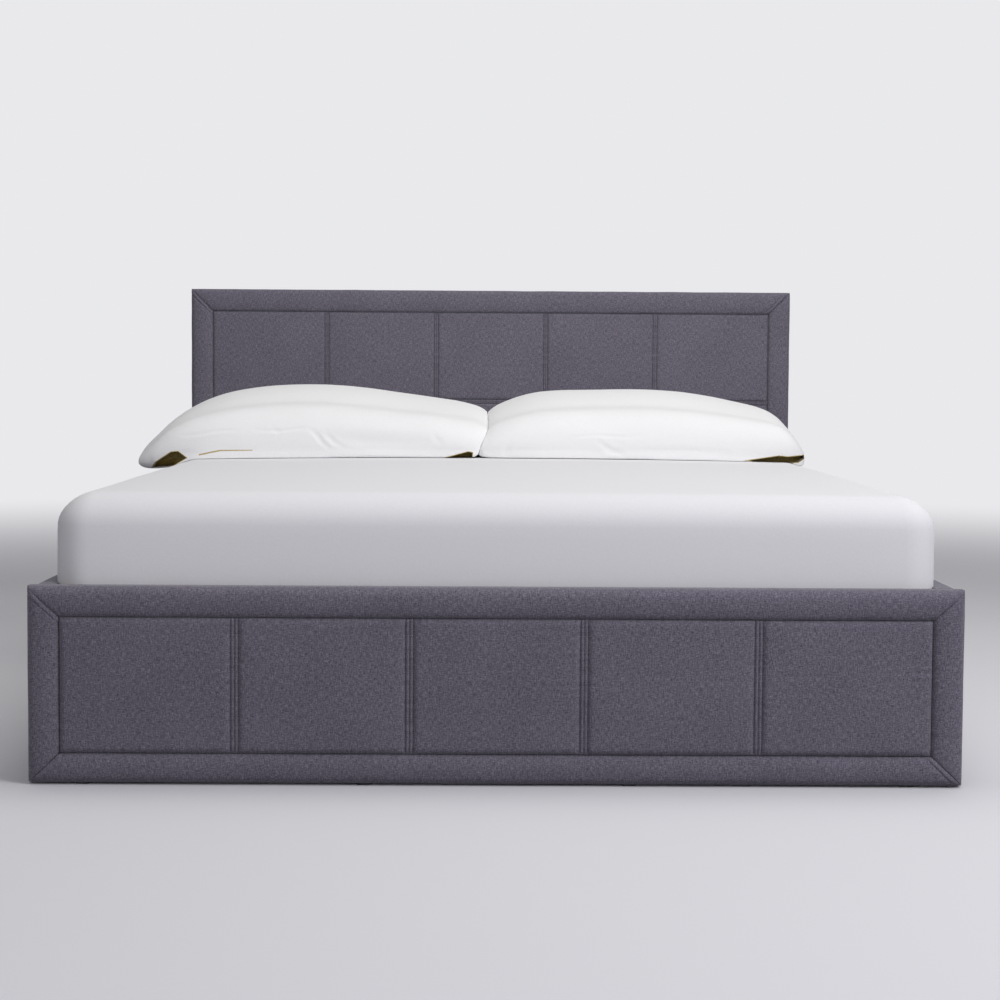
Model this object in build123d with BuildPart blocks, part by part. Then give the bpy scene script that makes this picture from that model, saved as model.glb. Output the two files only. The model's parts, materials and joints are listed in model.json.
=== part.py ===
from build123d import *
from math import asin, atan2, cos, degrees, hypot, sin
import os

# Upholstered storage bed whose slatted platform lifts at the foot on arms and gas struts.
# Millimetres. X to the right, Y from the foot to the headboard, Z up.
# The origin is on the floor, midway along the bed and midway across it.

# Overall sizes
bed_width = 1580
bed_length = 2160
headboard_height = 912
headboard_thickness = 80
footboard_height = 334
footboard_thickness = 60
side_rail_thickness = 35
glide_height = 4
lining_thickness = 2

# Upholstered boards
footboard_border_width = 52
footboard_border_top = 49
footboard_border_bottom = 50
headboard_border_width = 54
border_front_radius = 9
border_back_radius = 5
mitre_seam = 0.6
pad_depth = 24
pad_shoulder_radius = 7
pad_profile_lead = 1
footboard_pad_setback = 2
footboard_pad_crown = 9
headboard_pad_setback = 4
headboard_pad_crown = 5
footboard_pad_count = 5
footboard_seam_width = 12
headboard_seam_width = 9
headboard_outer_pad_width = 301
headboard_row_height = 235
seam_recess = 5
core_rib_width = 36
core_rib_count = 8
headboard_core_board = 18

# Side rails
rail_pad_depth = 15
rail_pad_cap = 6
rail_pad_crown = 3
rail_pad_radius = 8

# Storage floor
batten_width = 25
batten_height = 18
batten_bottom = 10
floor_board_thickness = 5
floor_board_count = 4
floor_board_gap = 1
centre_beam_width = 40
foot_radius = 20
beam_foot_count = 3
beam_foot_spacing = 660
glide_radius = 15
glide_inset = 90
glide_spread = 450

# Lifting platform, welded from square tube
platform_underside = 240
tube_size = 30
tube_wall = 2
platform_side_gap = 28
platform_head_gap = 10
platform_foot_gap = 20
slat_count = 13
slat_width = 53
slat_thickness = 8
slat_arch = 8
slat_end_margin = 45
slat_inset = 14
centre_slat_inset = 10
cap_floor = 3
cap_height = 17
cap_wall = 3
cap_length = 38
cap_clearance = 0.6

# Ledges that the closed platform rests on
ledge_depth = 35
ledge_height = 20
foot_ledge_end_gap = 155
side_ledge_depth = 40
side_ledge_length = 120
side_ledge_from_middle = 300
rest_pad_gap = 0.3
rest_pad_length = 40
rest_pad_depth = 12
rest_pad_height = 4.7
rest_pad_spread = 300

# Corner brackets and their bolts
bracket_leg = 50
bracket_depth = 60
bracket_thickness = 3
bracket_bottom = 70
bracket_height = 130
bolt_radius = 4
bolt_head_radius = 7
bolt_head_height = 5
bolt_grip = 18
bolt_clearance = 0.1
bolt_edge_place = 30

# Lift linkage, seen from the side. Each pivot is placed from the one before it.
main_pivot_from_headboard = 366
main_pivot_height = 121
main_arm_length = 286
arm_pin_above_tube_base = 4
bracket_pin_spacing = 90
rear_pin_below_tube_base = 3
second_pivot_back = 194
second_pivot_drop = 18.1
second_arm_end_back = 2.4
second_arm_end_rise = 4.1
strut_pivot_forward = 90
strut_pivot_drop = 56
strut_pin_along_arm = 227
strut_eye_back = 3
strut_eye_rise = 3.3
strut_stroke = 95

# Thicknesses and gaps of the linkage, counted inwards from the side rail
base_plate_thickness = 4
base_plate_radius = 24
arm_thickness = 6
arm_half_width = 15
main_arm_gap = 3
arm_gap = 3
running_gap = 0.3
pivot_radius = 6
rear_pin_radius = 5
strut_pin_radius = 4
pivot_clearance = 0.05
rear_pin_clearance = 5.1
rear_end_wall = 6
strut_eye_clearance = 4.9
collar_wall = 4
strut_collar_wall = 2.5
pivot_head_wall = 5
pivot_head_height = 3
wide_head_wall = 3
wide_head_height = 2.3
upper_bracket_thickness = 4
upper_bracket_radius = 14
eye_wall = 3.2
eye_thickness = 12
strut_inset = 39
cylinder_radius = 11
rod_radius = 5
rod_clearance = 0.05
cylinder_neck = 14
cylinder_length = 150
rod_grip = 30
rod_floor_gap = 5
screw_radius = 3
screw_head_radius = 5.5
screw_head_height = 2.4
screw_depth = 16
screw_clearance = 0.1

# Mattress keeper hoops and the pull strap at the foot
hoop_radius = 4
hoop_front_gap = 8.4
hoop_spread = 300
hoop_width = 200
hoop_height = 67
hoop_bend = 25
hoop_foot_width = 16
hoop_foot_height = 20
hoop_foot_rise = 5
strap_width = 40
strap_thickness = 2
strap_height = 62
strap_tab = 14

# Mattress, sheet and pillows
mattress_head_gap = 7
mattress_height = 207
mattress_lift = 0.3
mattress_foot_gap = 14
mattress_side_gap = 19
mattress_side_bulge = 24
mattress_side_height = 196
mattress_foot_height = 194
mattress_head_height = 198
mattress_edge_radius = 64
mattress_base_radius = 20
mattress_end_base_radius = 16
mattress_corner_radius = 50
mattress_end_bulge = 14
form_overrun = 5
sheet_thickness = 1
sheet_gap = 0.3
sheet_hem_rise = 2
pillow_left_overhang = 60
pillow_left_middle_gap = 12
pillow_right_past_middle = 9
pillow_depth = 608
pillow_height = 172
pillow_head_gap = 27
pillow_gap = 0.3
pillow_sink = 24
pillow_end_drop = 12
pillow_rest_radius = 46

# Places worked out from the sizes above
half_width = bed_width / 2
foot_front = -bed_length / 2
foot_inner = foot_front + footboard_thickness
head_back = bed_length / 2
head_front = head_back - headboard_thickness
rail_inner = half_width - side_rail_thickness
platform_half_width = rail_inner - platform_side_gap
platform_top = platform_underside + tube_size
platform_head = head_front - platform_head_gap
platform_foot = foot_inner + platform_foot_gap
side_tube_inner = platform_half_width - tube_size
floor_board_bottom = batten_bottom + batten_height
mattress_base = platform_top + cap_floor + slat_thickness + slat_arch + mattress_lift
mattress_foot = foot_inner + mattress_foot_gap
mattress_head = head_front - mattress_head_gap
mattress_base_half_width = rail_inner - mattress_side_gap
mattress_half_width = mattress_base_half_width + mattress_side_bulge
mattress_top = mattress_base + mattress_height

# Pivot places in the side view, as (y, z)
main_pivot = (head_front - main_pivot_from_headboard, main_pivot_height)
arm_pin_height = platform_underside + arm_pin_above_tube_base
main_arm_angle = asin((arm_pin_height - main_pivot[1]) / main_arm_length)
arm_pin = (main_pivot[0] + main_arm_length * cos(main_arm_angle), arm_pin_height)
rear_pin = (arm_pin[0] - bracket_pin_spacing, platform_underside - rear_pin_below_tube_base)
second_pivot = (main_pivot[0] - second_pivot_back, main_pivot[1] - second_pivot_drop)
second_arm_end = (rear_pin[0] - second_arm_end_back, rear_pin[1] + second_arm_end_rise)
strut_pivot = (main_pivot[0] + strut_pivot_forward, main_pivot[1] - strut_pivot_drop)
strut_pin = (
    main_pivot[0] + strut_pin_along_arm * cos(main_arm_angle),
    main_pivot[1] + strut_pin_along_arm * sin(main_arm_angle),
)
strut_eye = (strut_pin[0] - strut_eye_back, strut_pin[1] + strut_eye_rise)
strut_length = hypot(strut_eye[0] - strut_pivot[0], strut_eye[1] - strut_pivot[1])
strut_angle = atan2(strut_eye[1] - strut_pivot[1], strut_eye[0] - strut_pivot[0])

# Layers of the right-hand linkage along X
base_plate_inner = rail_inner - base_plate_thickness
main_arm_outer = base_plate_inner - main_arm_gap
main_arm_inner = main_arm_outer - arm_thickness
second_arm_outer = main_arm_inner - arm_gap
second_arm_inner = second_arm_outer - arm_thickness
upper_bracket_inner = platform_half_width + upper_bracket_thickness
strut_centre = rail_inner - strut_inset
eye_outer = strut_centre + eye_thickness / 2
eye_inner = strut_centre - eye_thickness / 2
strut_eye_radius = strut_pin_radius + strut_eye_clearance + eye_wall
rear_end_radius = rear_pin_radius + rear_pin_clearance + rear_end_wall

os.makedirs("parts", exist_ok=True)
finished = []


def finish(part, name):
    """Label a finished piece and write its file."""
    part.label = name
    export_step(part, "parts/" + name + ".step")
    finished.append(name)


def across(x):
    """Plane square to X at x: its first direction is Y and its second is Z."""
    return Plane.YZ.offset(x)


def facing_foot(y):
    """Plane square to Y at y, drawn in X and Z, whose positive side faces the foot."""
    return Plane.XZ.offset(-y)


def block(x_range, y_range, z_range):
    """Plain rectangular solid between pairs of limits."""
    with BuildPart() as solid:
        with BuildSketch(Plane.XY.offset(z_range[0])):
            with Locations(((x_range[0] + x_range[1]) / 2, (y_range[0] + y_range[1]) / 2)):
                Rectangle(x_range[1] - x_range[0], y_range[1] - y_range[0])
        extrude(amount=z_range[1] - z_range[0])
    return solid.part


def disc(centre, radius, x_outer, x_inner):
    """Round solid along X between two limits, centred at (y, z)."""
    with BuildPart() as solid:
        with BuildSketch(across(x_inner)):
            with Locations(centre):
                Circle(radius)
        extrude(amount=x_outer - x_inner)
    return solid.part


def mirrored(part):
    """The same piece for the other side of the bed."""
    return mirror(part, about=Plane.YZ)


# Border rails, mitred at the corners and rounded along their length
def border_rail(corners, front, depth, along, outward):
    with BuildPart() as rail:
        with BuildSketch(facing_foot(front)):
            Polygon(*corners, align=None)
        extrude(amount=-depth)
        fillet(rail.edges().filter_by(along).group_by(Axis.Y)[0], border_front_radius)
        back_edges = rail.edges().filter_by(along).group_by(Axis.Y)[-1]
        fillet(back_edges.sort_by(outward)[-1], border_back_radius)
    return rail.part


def board_border(height, side_width, top_width, bottom_width, front, depth):
    """Four mitred rails of an upholstered board, a seam's width apart."""
    low = glide_height
    gap = mitre_seam
    outer = half_width
    inner = half_width - side_width
    top = border_rail(
        [(-outer + gap, height), (outer - gap, height), (inner - gap, height - top_width),
         (-inner + gap, height - top_width)],
        front, depth, Axis.X, Axis.Z)
    bottom = border_rail(
        [(-outer + gap, low), (outer - gap, low), (inner - gap, low + bottom_width),
         (-inner + gap, low + bottom_width)],
        front, depth, Axis.X, -Axis.Z)
    right = border_rail(
        [(outer, low + gap / 2), (outer, height - gap / 2), (inner, height - top_width - gap / 2),
         (inner, low + bottom_width + gap / 2)],
        front, depth, Axis.Z, Axis.X)
    with BuildPart() as border:
        add(top)
        add(bottom)
        add(right)
        add(mirrored(right))
    return border.part


footboard_border_depth = footboard_thickness - lining_thickness
headboard_border_depth = headboard_thickness - lining_thickness
finish(
    board_border(footboard_height, footboard_border_width, footboard_border_top,
                 footboard_border_bottom, foot_front, footboard_border_depth),
    "footboard_border")
finish(
    board_border(headboard_height, headboard_border_width, headboard_border_width,
                 headboard_border_width, head_front, headboard_border_depth),
    "headboard_border")


# Padded panels, each crowned both ways with rounded shoulders
def crowned_pad(x_range, z_range, crown_y, crown, back_y):
    x_low, x_high = x_range
    z_low, z_high = z_range
    edge_y = crown_y + crown
    profile_edge = edge_y + pad_profile_lead
    x_middle = (x_low + x_high) / 2
    z_middle = (z_low + z_high) / 2
    with BuildPart() as pad:
        with BuildSketch(Plane.XY.offset(z_low)) as plan:
            with BuildLine():
                ThreePointArc((x_low, edge_y), (x_middle, crown_y), (x_high, edge_y))
                Polyline((x_high, edge_y), (x_high, back_y), (x_low, back_y), (x_low, edge_y))
            make_face()
            fillet(plan.vertices().sort_by(Axis.Y)[:2], pad_shoulder_radius)
        extrude(amount=z_high - z_low)
        with BuildSketch(across(x_low)) as profile:
            with BuildLine():
                ThreePointArc((profile_edge, z_low), (crown_y - pad_profile_lead, z_middle),
                              (profile_edge, z_high))
                Polyline((profile_edge, z_high), (back_y, z_high), (back_y, z_low),
                         (profile_edge, z_low))
            make_face()
            fillet(profile.vertices().sort_by(Axis.X)[:2], pad_shoulder_radius)
        extrude(amount=x_high - x_low, mode=Mode.INTERSECT)
    return pad.part


def pad_row(x_limits, z_range, crown_y, crown, back_y, seam_width):
    """Pads side by side between the limits, with a seam band between each pair."""
    with BuildPart() as row:
        for low, high in zip(x_limits[:-1], x_limits[1:]):
            left = low + (seam_width / 2 if low > x_limits[0] else mitre_seam)
            right = high - (seam_width / 2 if high < x_limits[-1] else mitre_seam)
            add(crowned_pad((left, right), z_range, crown_y, crown, back_y))
    return row.part


def seam_band(x, z_range, front_y, back_y, width):
    """Upright stitched band with two soft beads and a groove between them."""
    bead = width / 4
    with BuildPart() as band:
        with BuildSketch(Plane.XY.offset(z_range[0])):
            with Locations((x, (front_y + bead + back_y) / 2)):
                Rectangle(width, back_y - front_y - bead)
            with Locations((x - bead, front_y + bead), (x + bead, front_y + bead)):
                Circle(bead)
        extrude(amount=z_range[1] - z_range[0])
    return band.part


footboard_inner_half = half_width - footboard_border_width
footboard_panel = (
    glide_height + footboard_border_bottom + mitre_seam,
    footboard_height - footboard_border_top - mitre_seam,
)
footboard_pad_back = foot_front + pad_depth
footboard_limits = [
    -footboard_inner_half + i * 2 * footboard_inner_half / footboard_pad_count
    for i in range(footboard_pad_count + 1)
]
finish(
    pad_row(footboard_limits, footboard_panel, foot_front + footboard_pad_setback,
            footboard_pad_crown, footboard_pad_back, footboard_seam_width),
    "footboard_pads")

footboard_seam_front = foot_front + footboard_pad_setback + seam_recess
with BuildPart() as footboard_seam_bands:
    for x in footboard_limits[1:-1]:
        add(seam_band(x, footboard_panel, footboard_seam_front, footboard_pad_back,
                      footboard_seam_width))
finish(footboard_seam_bands.part, "footboard_seam_bands")

headboard_inner_half = half_width - headboard_border_width
headboard_pad_back = head_front + pad_depth
headboard_middle_width = (2 * headboard_inner_half - 2 * headboard_outer_pad_width) / 3
headboard_limits = [
    -headboard_inner_half,
    -headboard_middle_width * 3 / 2,
    -headboard_middle_width / 2,
    headboard_middle_width / 2,
    headboard_middle_width * 3 / 2,
    headboard_inner_half,
]
headboard_panel_top = headboard_height - headboard_border_width - mitre_seam
headboard_row_split = headboard_panel_top - headboard_row_height
headboard_panel_low = headboard_row_split - headboard_row_height
headboard_crown_y = head_front + headboard_pad_setback
half_seam = headboard_seam_width / 2
upper_row = (headboard_row_split + half_seam, headboard_panel_top)
lower_row = (headboard_panel_low, headboard_row_split - half_seam)
for row_name, row_range in (("upper", upper_row), ("lower", lower_row)):
    finish(
        pad_row(headboard_limits, row_range, headboard_crown_y, headboard_pad_crown,
                headboard_pad_back, headboard_seam_width),
        "headboard_" + row_name + "_pads")

headboard_seam_front = headboard_crown_y + seam_recess / 2
with BuildPart() as headboard_seam_bands:
    for x in headboard_limits[1:-1]:
        for row_range in (upper_row, lower_row):
            add(seam_band(x, row_range, headboard_seam_front, headboard_pad_back,
                          headboard_seam_width))
    add(block((-headboard_inner_half + mitre_seam, headboard_inner_half - mitre_seam),
              (headboard_seam_front + half_seam / 2, headboard_pad_back),
              (headboard_row_split - half_seam, headboard_row_split + half_seam)))
finish(headboard_seam_bands.part, "headboard_seam_bands")


# Holes for the corner bolts, by leg of the bracket
bolt_heights = (bracket_bottom + bolt_edge_place, bracket_bottom + bracket_height - bolt_edge_place)
board_bolt_x = rail_inner - bolt_edge_place
foot_bolt_y = foot_inner + bolt_edge_place
head_bolt_y = head_front - bolt_edge_place
bolt_hole_radius = bolt_radius + bolt_clearance
board_bolt_points = [(side * board_bolt_x, z) for side in (-1, 1) for z in bolt_heights]
rail_bolt_points = [(y, z) for y in (foot_bolt_y, head_bolt_y) for z in bolt_heights]

# Boards inside the upholstery
with BuildPart() as footboard_core:
    add(block((-footboard_inner_half, footboard_inner_half),
              (footboard_pad_back, foot_inner - lining_thickness),
              (footboard_panel[0] - mitre_seam, footboard_panel[1] + mitre_seam)))
    with BuildSketch(facing_foot(foot_inner)):
        with Locations(*board_bolt_points):
            Circle(bolt_hole_radius)
    extrude(amount=bolt_grip, mode=Mode.SUBTRACT)
finish(footboard_core.part, "footboard_core")

with BuildPart() as footboard_lining:
    add(block((-half_width + border_back_radius, half_width - border_back_radius),
              (foot_inner - lining_thickness, foot_inner),
              (glide_height, footboard_height - border_back_radius)))
    with BuildSketch(facing_foot(foot_inner)):
        with Locations(*board_bolt_points):
            Circle(bolt_hole_radius)
    extrude(amount=lining_thickness, mode=Mode.SUBTRACT)
finish(footboard_lining.part, "footboard_lining")

core_low = glide_height + headboard_border_width
core_high = headboard_height - headboard_border_width
rib_pitch = (2 * headboard_inner_half - core_rib_width) / (core_rib_count - 1)
core_board_back = headboard_pad_back + headboard_core_board
core_back = head_back - lining_thickness
with BuildPart() as headboard_core:
    add(block((-headboard_inner_half, headboard_inner_half), (headboard_pad_back, core_board_back),
              (core_low, core_high)))
    for i in range(core_rib_count):
        rib_start = -headboard_inner_half + i * rib_pitch
        add(block((rib_start, rib_start + core_rib_width), (core_board_back, core_back),
                  (core_low, core_high)))
finish(headboard_core.part, "headboard_core")

with BuildPart() as headboard_skirt:
    add(block((-headboard_inner_half, headboard_inner_half), (head_front, headboard_pad_back),
              (core_low, headboard_panel_low - mitre_seam)))
    with BuildSketch(facing_foot(head_front)):
        with Locations(*board_bolt_points):
            Circle(bolt_hole_radius)
    extrude(amount=-bolt_grip, mode=Mode.SUBTRACT)
finish(headboard_skirt.part, "headboard_skirt")

finish(
    block((-half_width + border_back_radius, half_width - border_back_radius),
          (core_back, head_back),
          (glide_height + border_back_radius, headboard_height - border_back_radius)),
    "headboard_back_cloth")

# Side rails: a board with a padded cover that wraps over its top
rail_core_outer = half_width - rail_pad_depth
rail_top = footboard_height
linkage_points = (main_pivot, second_pivot, strut_pivot)
screw_points = [
    ((main_pivot[0] + second_pivot[0]) / 2, (main_pivot[1] + second_pivot[1]) / 2),
    ((main_pivot[0] * 2 + second_pivot[0]) / 3, (main_pivot[1] * 2 + second_pivot[1]) / 3),
    ((main_pivot[0] + second_pivot[0] * 2) / 3, (main_pivot[1] + second_pivot[1] * 2) / 3),
    ((main_pivot[0] + strut_pivot[0]) / 2, (main_pivot[1] + strut_pivot[1]) / 2),
]
with BuildPart() as side_rail_core:
    add(block((rail_inner, rail_core_outer), (foot_inner, head_front),
              (glide_height, rail_top - rail_pad_cap)))
    with BuildSketch(across(rail_inner)):
        with Locations(*rail_bolt_points):
            Circle(bolt_hole_radius)
    extrude(amount=bolt_grip, mode=Mode.SUBTRACT)
    with BuildSketch(across(rail_inner)):
        with Locations(*screw_points):
            Circle(screw_radius + screw_clearance)
    extrude(amount=screw_depth, mode=Mode.SUBTRACT)
finish(mirrored(side_rail_core.part), "side_rail_core_left")
finish(side_rail_core.part, "side_rail_core_right")

rail_edge = half_width - rail_pad_crown
with BuildPart() as side_rail_pad:
    with BuildSketch(facing_foot(foot_inner)) as rail_profile:
        with BuildLine():
            ThreePointArc((rail_edge, glide_height), (half_width, (glide_height + rail_top) / 2),
                          (rail_edge, rail_top))
            Polyline((rail_edge, rail_top), (rail_inner, rail_top),
                     (rail_inner, rail_top - rail_pad_cap), (rail_core_outer, rail_top - rail_pad_cap),
                     (rail_core_outer, glide_height), (rail_edge, glide_height))
        make_face()
        fillet(rail_profile.vertices().sort_by(Axis.X)[-2:], rail_pad_radius)
    extrude(amount=-(head_front - foot_inner))
finish(mirrored(side_rail_pad.part), "side_rail_pad_left")
finish(side_rail_pad.part, "side_rail_pad_right")


# Corner brackets and bolts
def corner_bracket(inner_y, reach):
    """Angle bracket in the right corner, whose side leg runs from inner_y by reach."""
    near = min(inner_y, inner_y + reach)
    far = max(inner_y, inner_y + reach)
    leg_start = near if reach > 0 else far - bracket_thickness
    z_range = (bracket_bottom, bracket_bottom + bracket_height)
    with BuildPart() as bracket:
        add(block((rail_inner - bracket_thickness, rail_inner), (near, far), z_range))
        add(block((rail_inner - bracket_leg, rail_inner),
                  (leg_start, leg_start + bracket_thickness), z_range))
        bolt_y = inner_y + bolt_edge_place * (1 if reach > 0 else -1)
        with BuildSketch(across(rail_inner - bracket_thickness)):
            with Locations(*[(bolt_y, z) for z in bolt_heights]):
                Circle(bolt_hole_radius)
        extrude(amount=bracket_thickness, mode=Mode.SUBTRACT)
        with BuildSketch(facing_foot(leg_start)):
            with Locations(*[(board_bolt_x, z) for z in bolt_heights]):
                Circle(bolt_hole_radius)
        extrude(amount=-bracket_thickness, mode=Mode.SUBTRACT)
    return bracket.part


foot_bracket = corner_bracket(foot_inner, bracket_depth)
head_bracket = corner_bracket(head_front, -bracket_depth)
with BuildPart() as corner_brackets:
    for bracket in (foot_bracket, head_bracket):
        add(bracket)
        add(mirrored(bracket))
finish(corner_brackets.part, "corner_brackets")


def rail_bolt(y, z):
    """Bolt through a bracket's side leg into the rail."""
    head_face = rail_inner - bracket_thickness
    with BuildPart() as bolt:
        with BuildSketch(across(head_face)):
            with Locations((y, z)):
                Circle(bolt_radius)
        extrude(amount=bracket_thickness + bolt_grip - bolt_clearance)
        with BuildSketch(across(head_face)):
            with Locations((y, z)):
                RegularPolygon(bolt_head_radius, 6)
        extrude(amount=-bolt_head_height)
    return bolt.part


def board_bolt(z, inner_y, towards_head):
    """Bolt through a bracket's end leg into the footboard or headboard."""
    head_face = inner_y + bracket_thickness * (-1 if towards_head else 1)
    grip = bracket_thickness + bolt_grip - bolt_clearance
    with BuildPart() as bolt:
        with BuildSketch(facing_foot(head_face)):
            with Locations((board_bolt_x, z)):
                Circle(bolt_radius)
        extrude(amount=-grip if towards_head else grip)
        with BuildSketch(facing_foot(head_face)):
            with Locations((board_bolt_x, z)):
                RegularPolygon(bolt_head_radius, 6)
        extrude(amount=bolt_head_height if towards_head else -bolt_head_height)
    return bolt.part


right_bolts = [rail_bolt(y, z) for y, z in rail_bolt_points]
for z in bolt_heights:
    right_bolts.append(board_bolt(z, foot_inner, False))
    right_bolts.append(board_bolt(z, head_front, True))
with BuildPart() as bracket_bolts:
    for bolt in right_bolts:
        add(bolt)
        add(mirrored(bolt))
finish(bracket_bolts.part, "bracket_bolts")

# Floor of the storage space
batten_range = (batten_bottom, floor_board_bottom)
with BuildPart() as floor_battens:
    for side in (-1, 1):
        edges = sorted((side * rail_inner, side * (rail_inner - batten_width)))
        add(block(edges, (foot_inner, head_front), batten_range))
    cross_half = rail_inner - batten_width - mitre_seam
    add(block((-cross_half, cross_half), (foot_inner, foot_inner + batten_width), batten_range))
    add(block((-cross_half, cross_half), (head_front - batten_width, head_front), batten_range))
finish(floor_battens.part, "floor_battens")

finish(
    block((-centre_beam_width / 2, centre_beam_width / 2),
          (foot_inner + batten_width, head_front - batten_width), batten_range),
    "centre_beam")

with BuildPart() as beam_feet:
    with BuildSketch():
        with GridLocations(beam_foot_spacing, beam_foot_spacing, 1, beam_foot_count):
            Circle(foot_radius)
    extrude(amount=batten_bottom)
finish(beam_feet.part, "beam_feet")

floor_length = head_front - foot_inner - 2 * floor_board_gap
board_pitch = floor_length / floor_board_count
for i in range(floor_board_count):
    board_start = foot_inner + floor_board_gap + i * board_pitch
    finish(
        block((-rail_inner + floor_board_gap, rail_inner - floor_board_gap),
              (board_start, board_start + board_pitch - floor_board_gap),
              (floor_board_bottom, floor_board_bottom + floor_board_thickness)),
        "floor_board_" + str(i + 1))

with BuildPart() as floor_glides:
    with BuildSketch():
        for y in (foot_front + footboard_thickness / 2, head_back - headboard_thickness / 2):
            for x in (glide_spread / 2, half_width - glide_inset):
                with Locations((x, y), (-x, y)):
                    Circle(glide_radius)
        rail_glide_x = half_width - side_rail_thickness / 2
        for y in (-glide_spread, glide_spread):
            with Locations((rail_glide_x, y), (-rail_glide_x, y)):
                Circle(side_rail_thickness / 2)
    extrude(amount=glide_height)
finish(floor_glides.part, "floor_glides")

# Ledges under the platform and the rubber pads on them
ledge_top = platform_underside - rest_pad_gap - rest_pad_height
ledge_range = (ledge_top - ledge_height, ledge_top)
side_ledge_range = (-side_ledge_from_middle - side_ledge_length / 2,
                    -side_ledge_from_middle + side_ledge_length / 2)
foot_ledge_half = rail_inner - foot_ledge_end_gap
with BuildPart() as platform_ledges:
    add(block((-foot_ledge_half, foot_ledge_half), (foot_inner, foot_inner + ledge_depth),
              ledge_range))
    for side in (-1, 1):
        edges = sorted((side * rail_inner, side * (rail_inner - side_ledge_depth)))
        add(block(edges, side_ledge_range, ledge_range))
finish(platform_ledges.part, "platform_ledges")

pad_range = (ledge_top, ledge_top + rest_pad_height)
pad_y = foot_inner + ledge_depth - rest_pad_depth / 2
side_pad_x = rail_inner - side_ledge_depth + rest_pad_depth / 2
with BuildPart() as rest_pads:
    for side in (-1, 1):
        for x in (side * rest_pad_spread / 2, side * rest_pad_spread * 3 / 2):
            add(block((x - rest_pad_length / 2, x + rest_pad_length / 2),
                      (pad_y - rest_pad_depth / 2, pad_y + rest_pad_depth / 2), pad_range))
        x = side * side_pad_x
        add(block((x - rest_pad_depth / 2, x + rest_pad_depth / 2),
                  (-side_ledge_from_middle - rest_pad_length / 2,
                   -side_ledge_from_middle + rest_pad_length / 2),
                  pad_range))
finish(rest_pads.part, "rest_pads")

# Base plates of the lift linkage, screwed inside the side rails
with BuildPart() as lift_base_plate:
    with BuildSketch(across(base_plate_inner)):
        with Locations(*linkage_points):
            Circle(base_plate_radius)
        make_hull()
        with Locations(main_pivot, second_pivot):
            Circle(pivot_radius, mode=Mode.SUBTRACT)
        with Locations(strut_pivot):
            Circle(strut_pin_radius, mode=Mode.SUBTRACT)
        with Locations(*screw_points):
            Circle(screw_radius + screw_clearance, mode=Mode.SUBTRACT)
    extrude(amount=base_plate_thickness)
finish(mirrored(lift_base_plate.part), "lift_base_plate_left")
finish(lift_base_plate.part, "lift_base_plate_right")


def plate_screw(centre):
    """Screw whose head stands on the base plate and whose shank enters the rail."""
    with BuildPart() as screw:
        add(disc(centre, screw_radius, rail_inner + screw_depth - screw_clearance, base_plate_inner))
        add(disc(centre, screw_head_radius, base_plate_inner, base_plate_inner - screw_head_height))
    return screw.part


with BuildPart() as base_plate_screws:
    for centre in screw_points:
        screw = plate_screw(centre)
        add(screw)
        add(mirrored(screw))
finish(base_plate_screws.part, "base_plate_screws")


def pivot_stud(centre, radius, root, seat, arm_outer, arm_inner, collar, head_wall, head_height):
    """Stud along X: root end, collar from seat to the arm, bearing length and head."""
    with BuildPart() as stud:
        add(disc(centre, radius, root, arm_inner - running_gap))
        add(disc(centre, radius + collar, seat, arm_outer + running_gap))
        add(disc(centre, radius + head_wall, arm_inner - running_gap,
                 arm_inner - running_gap - head_height))
    return stud.part


fixed_studs = [
    pivot_stud(main_pivot, pivot_radius, rail_inner, base_plate_inner, main_arm_outer,
               main_arm_inner, collar_wall, pivot_head_wall, wide_head_height),
    pivot_stud(second_pivot, pivot_radius, rail_inner, base_plate_inner, second_arm_outer,
               second_arm_inner, collar_wall, pivot_head_wall, pivot_head_height),
    pivot_stud(strut_pivot, strut_pin_radius, rail_inner, base_plate_inner, eye_outer, eye_inner,
               collar_wall, pivot_head_wall, pivot_head_height),
]
with BuildPart() as pivot_studs:
    for stud in fixed_studs:
        add(stud)
        add(mirrored(stud))
finish(pivot_studs.part, "pivot_studs")


def flat_arm(start, end, start_radius, end_radius, outer, inner, holes):
    """Flat bar between two round ends, with holes given as (centre, radius)."""
    with BuildPart() as arm:
        with BuildSketch(across(inner)):
            with Locations(start):
                Circle(start_radius)
            with Locations(end):
                Circle(end_radius)
            make_hull()
            for centre, radius in holes:
                with Locations(centre):
                    Circle(radius, mode=Mode.SUBTRACT)
        extrude(amount=outer - inner)
    return arm.part


bearing_radius = pivot_radius + pivot_clearance
main_arm = flat_arm(
    main_pivot, arm_pin, arm_half_width, arm_half_width, main_arm_outer, main_arm_inner,
    [(main_pivot, bearing_radius), (arm_pin, bearing_radius), (strut_pin, strut_pin_radius)])
finish(mirrored(main_arm), "main_arm_left")
finish(main_arm, "main_arm_right")

second_arm = flat_arm(
    second_pivot, second_arm_end, arm_half_width, rear_end_radius, second_arm_outer,
    second_arm_inner,
    [(second_pivot, bearing_radius), (second_arm_end, rear_pin_radius + rear_pin_clearance)])
finish(mirrored(second_arm), "second_arm_left")
finish(second_arm, "second_arm_right")

strut_stud = pivot_stud(strut_pin, strut_pin_radius, main_arm_outer, main_arm_inner, eye_outer,
                        eye_inner, strut_collar_wall, strut_eye_clearance + wide_head_wall,
                        pivot_head_height)
finish(mirrored(strut_stud), "strut_stud_left")
finish(strut_stud, "strut_stud_right")

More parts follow.
